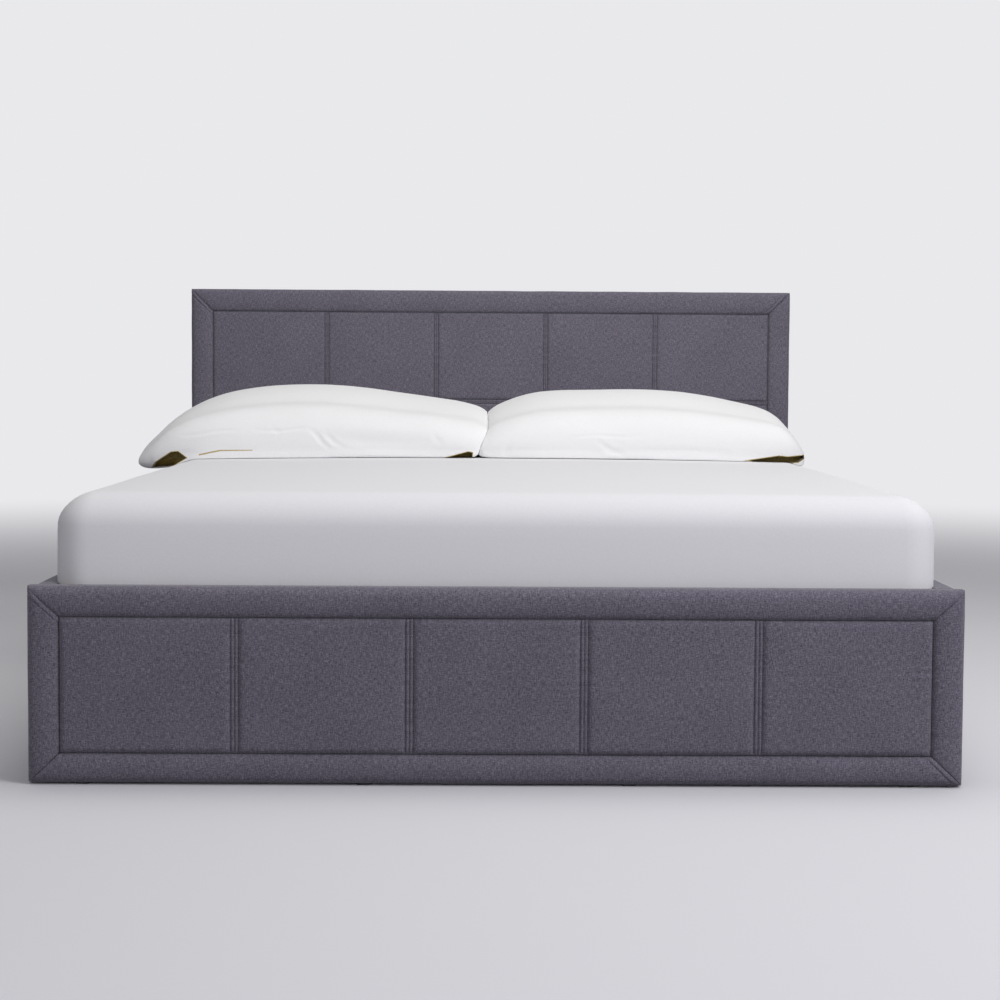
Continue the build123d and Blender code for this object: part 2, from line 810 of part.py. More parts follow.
# Gas struts, each a cylinder and a rod along the line from its lower pivot
strut_line = Plane(
    origin=(strut_centre, strut_pivot[0], strut_pivot[1]),
    x_dir=(1, 0, 0),
    z_dir=(0, cos(strut_angle), sin(strut_angle)),
)
lower_eye_radius = strut_pin_radius + collar_wall + eye_wall
rod_start = cylinder_neck + cylinder_length - strut_stroke - rod_grip
with BuildPart() as gas_cylinder:
    add(disc(strut_pivot, lower_eye_radius, eye_outer, eye_inner))
    with BuildSketch(strut_line):
        Rectangle(eye_thickness, lower_eye_radius)
    extrude(amount=cylinder_neck)
    with BuildSketch(strut_line.offset(cylinder_neck)):
        Circle(cylinder_radius)
    extrude(amount=cylinder_length)
    with BuildSketch(strut_line.offset(rod_start - rod_floor_gap)):
        Circle(rod_radius + rod_clearance)
    extrude(amount=cylinder_length, mode=Mode.SUBTRACT)
    with BuildSketch(across(eye_inner)):
        with Locations(strut_pivot):
            Circle(strut_pin_radius + pivot_clearance)
    extrude(amount=eye_thickness, mode=Mode.SUBTRACT)
finish(mirrored(gas_cylinder.part), "gas_cylinder_left")
finish(gas_cylinder.part, "gas_cylinder_right")

with BuildPart() as gas_rod:
    add(disc(strut_eye, strut_eye_radius, eye_outer, eye_inner))
    with BuildSketch(strut_line.offset(rod_start)):
        Circle(rod_radius)
    extrude(amount=strut_length - rod_start)
    with BuildSketch(across(eye_inner)):
        with Locations(strut_eye):
            Circle(strut_pin_radius + strut_eye_clearance)
    extrude(amount=eye_thickness, mode=Mode.SUBTRACT)
finish(mirrored(gas_rod.part), "gas_rod_left")
finish(gas_rod.part, "gas_rod_right")


# Platform frame of square tube
def square_tube(x_range, y_range, along_y):
    """Tube of the platform frame, open at both ends."""
    z_range = (platform_underside, platform_top)
    bore_z = (platform_underside + tube_wall, platform_top - tube_wall)
    wall_x = 0 if not along_y else tube_wall
    wall_y = 0 if along_y else tube_wall
    outside = block(x_range, y_range, z_range)
    bore = block((x_range[0] + wall_x, x_range[1] - wall_x),
                 (y_range[0] + wall_y, y_range[1] - wall_y), bore_z)
    with BuildPart() as tube:
        add(outside)
        add(bore, mode=Mode.SUBTRACT)
    return tube.part


side_tube = square_tube((side_tube_inner, platform_half_width), (platform_foot, platform_head), True)
finish(mirrored(side_tube), "platform_side_tube_left")
finish(side_tube, "platform_side_tube_right")
finish(
    square_tube((-side_tube_inner, side_tube_inner), (platform_head - tube_size, platform_head), False),
    "platform_head_tube")
finish(
    square_tube((-side_tube_inner, side_tube_inner), (platform_foot, platform_foot + tube_size), False),
    "platform_foot_tube")
finish(
    square_tube((-tube_size / 2, tube_size / 2),
                (platform_foot + tube_size, platform_head - tube_size), True),
    "platform_centre_tube")

# Brackets that hang the platform on the arms, and their pins
with BuildPart() as upper_bracket:
    with BuildSketch(across(platform_half_width)):
        with Locations(arm_pin, rear_pin):
            Circle(upper_bracket_radius)
        make_hull()
        with Locations(arm_pin):
            Circle(pivot_radius, mode=Mode.SUBTRACT)
        with Locations(rear_pin):
            Circle(rear_pin_radius, mode=Mode.SUBTRACT)
    extrude(amount=upper_bracket_thickness)
finish(mirrored(upper_bracket.part), "upper_bracket_left")
finish(upper_bracket.part, "upper_bracket_right")


def bracket_pin(centre, radius, arm_outer, arm_inner, collar, head_wall, head_height):
    """Pin from the upper bracket out through an arm, with a collar and a head."""
    with BuildPart() as pin:
        add(disc(centre, radius, arm_outer + running_gap, platform_half_width))
        add(disc(centre, radius + collar, arm_inner - running_gap, upper_bracket_inner))
        add(disc(centre, radius + head_wall, arm_outer + running_gap + head_height,
                 arm_outer + running_gap))
    return pin.part


right_pins = [
    bracket_pin(arm_pin, pivot_radius, main_arm_outer, main_arm_inner, collar_wall,
                pivot_head_wall, pivot_head_height),
    bracket_pin(rear_pin, rear_pin_radius, second_arm_outer, second_arm_inner,
                rear_pin_clearance + wide_head_wall, rear_pin_clearance + wide_head_wall,
                wide_head_height),
]
with BuildPart() as bracket_pins:
    for pin in right_pins:
        add(pin)
        add(mirrored(pin))
finish(bracket_pins.part, "bracket_pins")

# Sprung slats in two columns, with moulded end and centre caps
slat_low = platform_top + cap_floor
slat_inner = centre_slat_inset
slat_outer = platform_half_width - slat_inset
slat_middle = (slat_inner + slat_outer) / 2
first_slat = platform_foot + slat_end_margin
slat_pitch = (platform_head - platform_foot - 2 * slat_end_margin) / (slat_count - 1)
slat_places = [first_slat + i * slat_pitch for i in range(slat_count)]
slat_high = slat_low + slat_thickness
with BuildPart() as slats:
    for y in slat_places:
        with BuildSketch(facing_foot(y - slat_width / 2)):
            with BuildLine():
                ThreePointArc((slat_inner, slat_low), (slat_middle, slat_low + slat_arch),
                              (slat_outer, slat_low))
                Line((slat_outer, slat_low), (slat_outer, slat_high))
                ThreePointArc((slat_outer, slat_high), (slat_middle, slat_high + slat_arch),
                              (slat_inner, slat_high))
                Line((slat_inner, slat_high), (slat_inner, slat_low))
            make_face()
        extrude(amount=-slat_width)
finish(mirrored(slats.part), "slats_left")
finish(slats.part, "slats_right")

pocket_half = slat_width / 2 + cap_clearance
pocket_range = (slat_low, slat_high + slat_arch / 4 + cap_clearance)
cap_range = (platform_top, platform_top + cap_height)


def slat_cap(y, x_range, pockets):
    """Moulded cap on a tube with a pocket for each slat end."""
    with BuildPart() as cap:
        add(block(x_range, (y - pocket_half - cap_wall, y + pocket_half + cap_wall), cap_range))
        for pocket in pockets:
            add(block(pocket, (y - pocket_half, y + pocket_half), pocket_range), mode=Mode.SUBTRACT)
    return cap.part


end_cap_range = (platform_half_width - cap_length, platform_half_width)
with BuildPart() as slat_end_caps:
    for y in slat_places:
        cap = slat_cap(y, end_cap_range, [(end_cap_range[0], slat_outer + cap_clearance)])
        add(cap)
        add(mirrored(cap))
finish(slat_end_caps.part, "slat_end_caps")

centre_pockets = [
    (centre_slat_inset - cap_clearance, cap_length),
    (-cap_length, cap_clearance - centre_slat_inset),
]
with BuildPart() as slat_centre_caps:
    for y in slat_places:
        add(slat_cap(y, (-cap_length, cap_length), centre_pockets))
finish(slat_centre_caps.part, "slat_centre_caps")

# Hoops that keep the mattress from sliding when the platform is up
hoop_y = foot_inner + hoop_front_gap + hoop_radius
hoop_low = platform_underside + hoop_foot_rise + hoop_foot_height / 2
hoop_top = hoop_low + hoop_height
with BuildPart() as mattress_hoops:
    for side in (-1, 1):
        near_x = side * hoop_spread
        far_x = side * (hoop_spread + hoop_width)
        with BuildLine() as hoop_path:
            FilletPolyline((near_x, hoop_y, hoop_low), (near_x, hoop_y, hoop_top),
                           (far_x, hoop_y, hoop_top), (far_x, hoop_y, hoop_low), radius=hoop_bend)
        with BuildSketch(Plane(origin=(near_x, hoop_y, hoop_low), z_dir=(0, 0, 1))):
            Circle(hoop_radius)
        sweep(path=hoop_path.wires()[0])
        for x in (near_x, far_x):
            add(block((x - hoop_foot_width / 2, x + hoop_foot_width / 2), (hoop_y, platform_foot),
                      (hoop_low - hoop_foot_height / 2, hoop_low + hoop_foot_height / 2)))
finish(mattress_hoops.part, "mattress_hoops")

# Folded webbing strap for lifting the platform
strap_front = hoop_y - hoop_radius
strap_back = strap_front + 3 * strap_thickness
strap_low = platform_top - strap_tab
with BuildPart() as pull_strap:
    with BuildSketch(across(-strap_width / 2)):
        with Locations(((strap_front + strap_back) / 2, strap_low + strap_height / 2)):
            SlotOverall(strap_height, strap_back - strap_front, rotation=90)
            SlotOverall(strap_height - 2 * strap_thickness,
                        strap_back - strap_front - 2 * strap_thickness, rotation=90,
                        mode=Mode.SUBTRACT)
    extrude(amount=strap_width)
    add(block((-strap_width / 2, strap_width / 2), (strap_back - strap_thickness, platform_foot),
              (strap_low + strap_thickness, platform_top - strap_thickness)))
finish(pull_strap.part, "pull_strap")


# Mattress: crowned on top, bulged sides and rounded corners
def mattress_form(grow, skirt, edge_radius):
    """Mattress grown all round; a skirt carries its sides straight down below the base."""
    half_base = mattress_base_half_width + grow
    half_side = mattress_half_width + grow
    half_top = (half_base + half_side) / 2
    shoulder = mattress_base + mattress_side_height + grow
    crown = mattress_top + grow
    low = mattress_base - skirt
    foot = mattress_foot - grow
    head = mattress_head + grow
    foot_in = foot + mattress_end_bulge
    head_in = head - mattress_end_bulge
    foot_shoulder = mattress_base + mattress_foot_height + grow
    head_shoulder = mattress_base + mattress_head_height + grow
    widest = (mattress_base + shoulder) / 2
    with BuildPart() as form:
        with BuildSketch(facing_foot(foot - form_overrun)) as cross_section:
            with BuildLine():
                if skirt:
                    Polyline((-half_base, mattress_base), (-half_base, low), (half_base, low),
                             (half_base, mattress_base))
                else:
                    Line((-half_base, low), (half_base, low))
                ThreePointArc((half_base, mattress_base), (half_side, widest), (half_top, shoulder))
                ThreePointArc((half_top, shoulder), (0, crown), (-half_top, shoulder))
                ThreePointArc((-half_top, shoulder), (-half_side, widest), (-half_base, mattress_base))
            make_face()
            fillet(cross_section.vertices().group_by(Axis.Y)[-1], edge_radius)
            if not skirt:
                fillet(cross_section.vertices().group_by(Axis.Y)[0], mattress_base_radius)
        extrude(amount=foot - head - 2 * form_overrun)
        with BuildSketch(across(-half_side - form_overrun)) as long_section:
            with BuildLine():
                if skirt:
                    Polyline((foot_in, mattress_base), (foot_in, low), (head_in, low),
                             (head_in, mattress_base))
                else:
                    Line((foot_in, low), (head_in, low))
                ThreePointArc((head_in, mattress_base), (head, widest), (head_in, head_shoulder))
                ThreePointArc((head_in, head_shoulder), (0, crown), (foot_in, foot_shoulder))
                ThreePointArc((foot_in, foot_shoulder), (foot, widest), (foot_in, mattress_base))
            make_face()
            fillet(long_section.vertices().sort_by(Axis.Y)[-2:], edge_radius)
            if not skirt:
                fillet(long_section.vertices().group_by(Axis.Y)[0], mattress_end_base_radius)
        extrude(amount=2 * (half_side + form_overrun), mode=Mode.INTERSECT)
        with BuildSketch(Plane.XY.offset(low - form_overrun)):
            with Locations((0, (foot + head) / 2)):
                RectangleRounded(2 * (half_side + form_overrun), head - foot + 2 * form_overrun,
                                 mattress_corner_radius)
        extrude(amount=crown - low + 2 * form_overrun, mode=Mode.INTERSECT)
    return form.part


finish(mattress_form(0, 0, mattress_edge_radius), "mattress")

# Fitted sheet: a thin cover over the mattress, open underneath
sheet_outside = mattress_form(sheet_gap + sheet_thickness, sheet_thickness, mattress_edge_radius)
sheet_inside = mattress_form(sheet_gap, mattress_base_radius, mattress_edge_radius)
with BuildPart() as fitted_sheet:
    add(sheet_outside)
    add(sheet_inside, mode=Mode.SUBTRACT)
    split(bisect_by=Plane.XY.offset(mattress_base + sheet_hem_rise))
finish(fitted_sheet.part, "fitted_sheet")

# Pillows: lens-shaped sections lofted from end to end, settled on the crown of the sheet
pillow_left_start = -half_width - pillow_left_overhang
pillow_right_start = -pillow_right_past_middle
pillow_length_left = -pillow_left_middle_gap - pillow_left_start
pillow_length_right = rail_inner - pillow_right_start
pillow_back = head_front - pillow_head_gap
pillow_front = pillow_back - pillow_depth
pillow_base = mattress_top + sheet_gap + sheet_thickness + pillow_gap - pillow_sink

# Each station is a share of the length, of the depth, of the height and of the end's drop
left_station_shares = [
    (0.0, 0.90, 0.115, 1.0),
    (0.05, 0.97, 0.349, 0.75),
    (0.155, 1.0, 0.715, 0.3),
    (0.34, 0.98, 0.928, 0.0),
    (0.48, 0.97, 0.97, 0.0),
    (0.668, 0.98, 0.905, 0.0),
    (0.884, 1.0, 0.766, 0.0),
    (0.965, 0.98, 0.673, 0.0),
    (1.0, 0.92, 0.598, 0.0),
]
right_station_shares = [
    (0.0, 0.92, 0.598, 0.0),
    (0.035, 0.98, 0.673, 0.0),
    (0.10, 1.0, 0.803, 0.0),
    (0.31, 0.98, 0.91, 0.0),
    (0.455, 0.97, 0.919, 0.0),
    (0.674, 0.98, 0.859, 0.0),
    (0.856, 1.0, 0.71, 0.0),
    (0.93, 0.99, 0.589, 0.0),
    (0.97, 0.96, 0.375, 0.0),
    (1.0, 0.90, 0.161, 0.0),
]
seam_height_share = 0.24
shoulder_height_share = 0.74
shoulder_depth_share = 0.62
tuck_share = 0.11


def pillow(start, length, station_shares):
    """Pillow from start along X, through stations that are shares of its sizes."""
    middle = (pillow_front + pillow_back) / 2
    bed_form = mattress_form(sheet_gap + sheet_thickness + pillow_gap, mattress_base_radius,
                             pillow_rest_radius)
    with BuildPart() as form:
        for place, depth_share, height_share, drop_share in station_shares:
            front = middle - pillow_depth * depth_share / 2
            back = middle + pillow_depth * depth_share / 2
            low = pillow_base - pillow_end_drop * drop_share
            rise = pillow_height * height_share + pillow_sink
            seam = low + rise * seam_height_share
            shoulder = low + rise * shoulder_height_share
            shoulder_in = rise * shoulder_depth_share
            tuck = rise * tuck_share
            with BuildSketch(across(start + length * place)):
                with BuildLine():
                    Line((front + tuck, low), (back - tuck, low))
                    ThreePointArc((back - tuck, low), (back, seam), (back - shoulder_in, shoulder))
                    ThreePointArc((back - shoulder_in, shoulder), (middle, low + rise),
                                  (front + shoulder_in, shoulder))
                    ThreePointArc((front + shoulder_in, shoulder), (front, seam), (front + tuck, low))
                make_face()
        loft()
        add(bed_form, mode=Mode.SUBTRACT)
    return form.part


finish(pillow(pillow_left_start, pillow_length_left, left_station_shares), "pillow_left")
finish(pillow(pillow_right_start, pillow_length_right, right_station_shares), "pillow_right")

print("nodes", len(finished))
print("main arm pivot", main_pivot, "arm pin", arm_pin, "rear pin", rear_pin)
print("second pivot", second_pivot, "its open end", second_arm_end)
print("strut pivot", strut_pivot, "strut pin", strut_pin, "strut eye", strut_eye)
print("strut closed length", strut_length, "angle", degrees(strut_angle), "stroke", strut_stroke)
print("layer centres", strut_centre, main_arm_inner, second_arm_inner)
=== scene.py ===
# Looks of the upholstered ottoman bed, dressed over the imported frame.
import json
import math

import bmesh
import bpy
from mathutils import Matrix, Vector, noise
from mathutils.bvhtree import BVHTree


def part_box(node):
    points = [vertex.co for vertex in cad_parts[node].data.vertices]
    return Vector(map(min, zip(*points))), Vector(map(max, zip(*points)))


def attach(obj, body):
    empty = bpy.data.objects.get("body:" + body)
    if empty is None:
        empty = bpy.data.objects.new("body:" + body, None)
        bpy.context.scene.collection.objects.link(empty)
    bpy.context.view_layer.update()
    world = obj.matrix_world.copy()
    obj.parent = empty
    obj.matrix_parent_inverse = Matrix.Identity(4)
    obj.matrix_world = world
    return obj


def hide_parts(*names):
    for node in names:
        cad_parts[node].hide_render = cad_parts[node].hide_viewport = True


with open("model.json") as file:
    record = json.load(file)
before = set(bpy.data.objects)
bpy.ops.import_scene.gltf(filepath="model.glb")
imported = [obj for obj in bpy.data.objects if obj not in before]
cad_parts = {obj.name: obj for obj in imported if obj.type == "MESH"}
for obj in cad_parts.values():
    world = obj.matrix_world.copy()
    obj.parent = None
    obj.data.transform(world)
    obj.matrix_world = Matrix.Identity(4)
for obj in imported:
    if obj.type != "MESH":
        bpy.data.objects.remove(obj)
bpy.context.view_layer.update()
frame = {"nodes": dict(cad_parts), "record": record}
nodes = frame["nodes"]
scene = bpy.context.scene
print("frame loaded:", len(nodes), "nodes")


# Camera where the photograph was taken from, and the studio around the bed
camera = {
    "place": (-0.03607, -4.626, 0.7012),
    "lens": 76.28,
    "sensor": 36,
    "farthest": 100,
    "pitch": 0.06038,
    "yaw": -0.01114,
    "roll": 0.006389,
}
studio = {
    "floorSize": 60,
    "floorColour": "#e4e4e7",
    "floorBounce": "#97959b",
    "floorRoughness": 0.9,
    "airColour": "#e9e9ec",
    "fadeStart": 2.6,
    "fadeEnd": 7.5,
    "fillColour": "#e9eaf0",
    "fillStrength": 0.25,
    "lamps": (
        # name, place, target, size, watts, colour
        ("ceiling softbox", (0.4, -0.2, 3.4), (0.1, 0.1, 0.3), (3.2, 2.6), 48, "#fffdfa"),
        ("window softbox", (3.1, -3.2, 3.0), (0.0, -0.8, 0.3), (1.6, 1.6), 97, "#fbfaff"),
        ("front softbox", (-0.6, -6.0, 1.6), (0, -0.5, 0.4), (3.0, 2.0), 45, "#fbfaff"),
    ),
}


def srgb(hexText):
    channels = [int(hexText[i : i + 2], 16) / 255 for i in (1, 3, 5)]
    linear = [c / 12.92 if c <= 0.04045 else ((c + 0.055) / 1.055) ** 2.4 for c in channels]
    return (*linear, 1)


def addNode(tree, kind, values=None, links=None, **settings):
    node = tree.nodes.new("ShaderNode" + kind)
    for name, value in settings.items():
        setattr(node, name, value)
    for name, value in (values or {}).items():
        node.inputs[name].default_value = value
    for name, socket in (links or {}).items():
        tree.links.new(socket, node.inputs[name])
    return node


def aimCamera():
    data = bpy.data.cameras.new("photo camera")
    data.sensor_width = camera["sensor"]
    data.lens = camera["lens"]
    data.clip_end = camera["farthest"]
    cosYaw, sinYaw = math.cos(camera["yaw"]), math.sin(camera["yaw"])
    cosPitch, sinPitch = math.cos(camera["pitch"]), math.sin(camera["pitch"])
    cosRoll, sinRoll = math.cos(camera["roll"]), math.sin(camera["roll"])
    level = Vector((cosYaw, sinYaw, 0))
    ahead = Vector((-sinYaw, cosYaw, 0)) * cosPitch - Vector((0, 0, sinPitch))
    above = Vector((-sinYaw, cosYaw, 0)) * sinPitch + Vector((0, 0, cosPitch))
    right = level * cosRoll + above * sinRoll
    up = above * cosRoll - level * sinRoll
    turn = Matrix((right, up, -ahead)).transposed().to_4x4()
    item = bpy.data.objects.new("photo camera", data)
    item.matrix_world = Matrix.Translation(camera["place"]) @ turn
    scene.collection.objects.link(item)
    scene.camera = item


def addLamp(name, place, target, size, power, colour):
    data = bpy.data.lights.new(name, "AREA")
    data.shape = "RECTANGLE"
    data.size, data.size_y = size
    data.energy = power
    data.color = srgb(colour)[:3]
    item = bpy.data.objects.new(name, data)
    item.location = place
    item.rotation_euler = (Vector(target) - Vector(place)).to_track_quat("-Z", "Y").to_euler()
    scene.collection.objects.link(item)


def seenByEye(tree):
    # 1 for what the camera sees, also in a mirror or through glass, and 0 for what gives light
    path = addNode(tree, "LightPath").outputs
    links = {0: path["Is Glossy Ray"], 1: path["Is Transmission Ray"]}
    mirrored = addNode(tree, "Math", links=links, operation="MAXIMUM")
    links = {0: mirrored.outputs[0], 1: path["Is Camera Ray"]}
    return addNode(tree, "Math", links=links, operation="MAXIMUM").outputs[0]


def layFloor():
    bm = bmesh.new()
    bmesh.ops.create_grid(bm, x_segments=4, y_segments=4, size=studio["floorSize"] / 2)
    mesh = bpy.data.meshes.new("studio floor")
    bm.to_mesh(mesh)
    bm.free()
    floor = bpy.data.objects.new("studio floor", mesh)
    scene.collection.objects.link(floor)
    # matt paper floor: pale and even, it catches the shadow and fades into the air far away
    paper = bpy.data.materials.new("matt floor paper")
    paper.use_nodes = True
    tree = paper.node_tree
    shader = tree.nodes["Principled BSDF"]
    shader.inputs["Roughness"].default_value = studio["floorRoughness"]
    seen = seenByEye(tree)
    # to the eye the paper is pale, but it bounces as little light as a mid-grey carpet
    tones = {"A": srgb(studio["floorBounce"]), "B": srgb(studio["floorColour"])}
    tone = addNode(tree, "Mix", tones, {"Factor": seen}, data_type="RGBA")
    tree.links.new(tone.outputs["Result"], shader.inputs["Base Color"])
    place = addNode(tree, "TexCoord").outputs["Object"]
    distance = addNode(tree, "VectorMath", links={0: place}, operation="LENGTH")
    fade = {"From Min": studio["fadeStart"], "From Max": studio["fadeEnd"]}
    links = {"Value": distance.outputs["Value"]}
    far = addNode(tree, "MapRange", fade, links, interpolation_type="SMOOTHSTEP")
    links = {0: far.outputs["Result"], 1: seen}
    seenFar = addNode(tree, "Math", links=links, operation="MULTIPLY")
    air = addNode(tree, "Emission", {"Color": srgb(studio["airColour"])})
    links = {0: seenFar.outputs[0], 1: shader.outputs[0], 2: air.outputs[0]}
    blend = addNode(tree, "MixShader", links=links)
    tree.links.new(blend.outputs[0], tree.nodes["Material Output"].inputs["Surface"])
    mesh.materials.append(paper)


def lightStudio():
    world = bpy.data.worlds.new("studio air")
    scene.world = world
    world.use_nodes = True
    tree = world.node_tree
    tree.nodes.clear()
    filling = {"Color": srgb(studio["fillColour"]), "Strength": studio["fillStrength"]}
    fill = addNode(tree, "Background", filling)
    view = addNode(tree, "Background", {"Color": srgb(studio["airColour"]), "Strength": 1.0})
    links = {0: seenByEye(tree), 1: fill.outputs[0], 2: view.outputs[0]}
    mix = addNode(tree, "MixShader", links=links)
    addNode(tree, "OutputWorld", links={"Surface": mix.outputs[0]})
    for lamp in studio["lamps"]:
        addLamp(*lamp)
    scene.view_settings.view_transform = "Standard"


aimCamera()
layFloor()
lightStudio()
print("camera and studio ready")


# Materials. Each is named for the finish it stands for.
def newMaterial(name, **settings):
    material = bpy.data.materials.new(name)
    material.use_nodes = True
    shader = material.node_tree.nodes["Principled BSDF"]
    for setting, value in settings.items():
        shader.inputs[setting.replace("_", " ")].default_value = value
    return material, material.node_tree, shader


def finishSurface(tree, shader, pattern, tones, ends, height=None, strength=0, depth=0):
    # The tones run along the pattern from one end to the other, and the height is its relief.
    ramp = addNode(tree, "ValToRGB", links={"Fac": pattern})
    first, last = ramp.color_ramp.elements
    first.color, last.color = srgb(tones[0]), srgb(tones[-1])
    first.position, last.position = ends
    if len(tones) == 3:
        ramp.color_ramp.elements.new(0.5).color = srgb(tones[1])
    tree.links.new(ramp.outputs["Color"], shader.inputs["Base Color"])
    if height:
        relief = {"Strength": strength, "Distance": depth}
        bump = addNode(tree, "Bump", relief, {"Height": height})
        tree.links.new(bump.outputs[0], shader.inputs["Normal"])


def upholsteryWeave(name, tones, drawnPitch):
    # Polyester linen-look hopsack: flat, dry, with fine pale and dark flecks of melange yarn.
    # Real threads are 0.6 mm apart, drawn here at 1.9 mm so that they show.
    material, tree, shader = newMaterial(
        name, Roughness=0.86, Sheen_Weight=0.32, Sheen_Roughness=0.38, Specular_IOR_Level=0.2
    )
    cloth = {"Vector": addNode(tree, "UVMap", uv_map="cloth").outputs[0]}
    flat = {"noise_dimensions": "2D"}
    fine = {"Detail": 2.0, "Roughness": 0.6}
    # a wave texture repeats every 0.314 of its unit
    thread = {"Scale": 0.314 / drawnPitch, "Distortion": 0.6, "Detail": 1.0, "Detail Scale": 1.5}
    yarns, threads = {}, {}
    # warp and weft: slubs a metre in each direction
    for i, (slubs, bands) in enumerate((((620, 105, 1), "X"), ((120, 660, 1), "Y"))):
        drawn = addNode(tree, "Mapping", {"Scale": slubs}, cloth)
        yarn = {"Vector": drawn.outputs[0]}
        yarns[i] = addNode(tree, "TexNoise", {"Scale": 1.0, **fine}, yarn, **flat).outputs[0]
        threads[i] = addNode(tree, "TexWave", thread, cloth, bands_direction=bands).outputs["Fac"]
    fleck = addNode(tree, "TexNoise", {"Scale": 420.0, **fine}, cloth, **flat).outputs[0]
    slow = {"Scale": 9.0, "Detail": 2.0, "Roughness": 0.5}
    cloud = addNode(tree, "TexNoise", slow, cloth, **flat).outputs[0]
    both = addNode(tree, "Math", links=yarns, operation="ADD").outputs[0]
    mixed = addNode(tree, "Math", links={0: both, 1: fleck}, operation="ADD").outputs[0]
    links = {0: cloud, 2: mixed}
    clouded = addNode(tree, "Math", {1: 0.14}, links, operation="MULTIPLY_ADD").outputs[0]
    spread = {"From Min": 1.10, "From Max": 2.04}
    share = addNode(tree, "MapRange", spread, {"Value": clouded}).outputs[0]
    links = {0: fleck, 2: addNode(tree, "Math", links=threads, operation="ADD").outputs[0]}
    height = addNode(tree, "Math", {1: 1.2}, links, operation="MULTIPLY_ADD").outputs[0]
    finishSurface(tree, shader, share, tones, (0, 1), height, strength=0.4, depth=0.0005)
    return material


def plainCloth(name, tones, fleckSize, sheen, roughness, nap, crease=0.0):
    # A fine plain cloth on Object coordinates: soft tone changes, a faint nap, slow creases.
    material, tree, shader = newMaterial(
        name, Roughness=roughness, Sheen_Weight=sheen, Sheen_Roughness=0.4, Specular_IOR_Level=0.3
    )
    place = {"Vector": addNode(tree, "TexCoord").outputs["Object"]}
    fine = {"Scale": 1 / fleckSize, "Detail": 3.0, "Roughness": 0.6}
    fleck = addNode(tree, "TexNoise", fine, place).outputs[0]
    folds = {"Scale": 9.0, "Detail": 4.0, "Roughness": 0.5, "Distortion": 0.8}
    slow = addNode(tree, "TexNoise", folds, place).outputs[0]
    links = {0: slow, 2: fleck}
    height = addNode(tree, "Math", {1: crease}, links, operation="MULTIPLY_ADD").outputs[0]
    finishSurface(tree, shader, fleck, tones, (0.3, 0.7), height, strength=0.5, depth=nap)
    return material


def coatedSteel(name, tones, roughness, grain, peelDepth):
    # Powder coat over welded steel: a shallow orange peel with a soft, broad gloss.
    material, tree, shader = newMaterial(name, Roughness=roughness, Specular_IOR_Level=0.5)
    place = {"Vector": addNode(tree, "TexCoord").outputs["Object"]}
    peel = addNode(tree, "TexNoise", {"Scale": 1 / grain, "Detail": 2.0}, place)
    cloud = addNode(tree, "TexNoise", {"Scale": 25.0, "Detail": 3.0}, place)
    faint = addNode(tree, "Math", {1: 0.22}, {0: cloud.outputs[0]}, operation="MULTIPLY")
    pair = {"A": srgb(tones[0]), "B": srgb(tones[1])}
    mix = addNode(tree, "Mix", pair, {"Factor": faint.outputs[0]}, data_type="RGBA")
    tree.links.new(mix.outputs["Result"], shader.inputs["Base Color"])
    relief = {"Strength": 0.35, "Distance": peelDepth}
    bump = addNode(tree, "Bump", relief, {"Height": peel.outputs[0]})
    tree.links.new(bump.outputs[0], shader.inputs["Normal"])
    return material


def bareMetal(name, tones, roughness, spread, scale, stretch=(1, 1, 1)):
    # Bright metal whose gloss varies a little with plating spangle or the grinding direction.
    material, tree, shader = newMaterial(name, Roughness=roughness, Metallic=1.0)
    place = {"Vector": addNode(tree, "TexCoord").outputs["Object"]}
    turned = {"Vector": addNode(tree, "Mapping", {"Scale": stretch}, place).outputs[0]}
    spangle = addNode(tree, "TexNoise", {"Scale": scale, "Detail": 3.0}, turned).outputs[0]
    reach = {"To Min": roughness - spread, "To Max": roughness + spread}
    gloss = addNode(tree, "MapRange", reach, {"Value": spangle})
    tree.links.new(gloss.outputs["Result"], shader.inputs["Roughness"])
    finishSurface(tree, shader, spangle, tones, (0.3, 0.7))
    return material


def sawnWood(name, tones, roughness, grainAcross, along):
    # Planed or laminated wood: long streaks along one axis, with fine pores.
    material, tree, shader = newMaterial(name, Roughness=roughness, Specular_IOR_Level=0.4)
    place = {"Vector": addNode(tree, "TexCoord").outputs["Object"]}
    stretch = [1 / grainAcross] * 3
    stretch[along] = 1 / (grainAcross * 22)
    turned = {"Vector": addNode(tree, "Mapping", {"Scale": stretch}, place).outputs[0]}
    streaks = {"Scale": 1.0, "Detail": 5.0, "Roughness": 0.62, "Distortion": 0.5}
    streak = addNode(tree, "TexNoise", streaks, turned).outputs[0]
    pores = addNode(tree, "TexNoise", {"Scale": 7.0, "Detail": 2.0}, turned).outputs[0]
    links = {0: pores, 2: streak}
    share = addNode(tree, "Math", {1: 0.35}, links, operation="MULTIPLY_ADD").outputs[0]
    finishSurface(tree, shader, share, tones, (0.45, 0.85), share, strength=0.3, depth=0.0004)
    return material


def mouldedPlastic(name, tones, roughness, grain):
    # Moulded part with a spark-eroded texture and no shine on its faces.
    material, tree, shader = newMaterial(name, Roughness=roughness, Specular_IOR_Level=0.45)
    place = {"Vector": addNode(tree, "TexCoord").outputs["Object"]}
    texture = addNode(tree, "TexNoise", {"Scale": 1 / grain, "Detail": 2.0}, place).outputs[0]
    finishSurface(tree, shader, texture, tones, (0, 1), texture, strength=0.4, depth=0.0003)
    return material


boardWeave = upholsteryWeave(
    "charcoal melange hopsack", ("#4c4954", "#6c6874", "#8d8995"), drawnPitch=0.0019
)
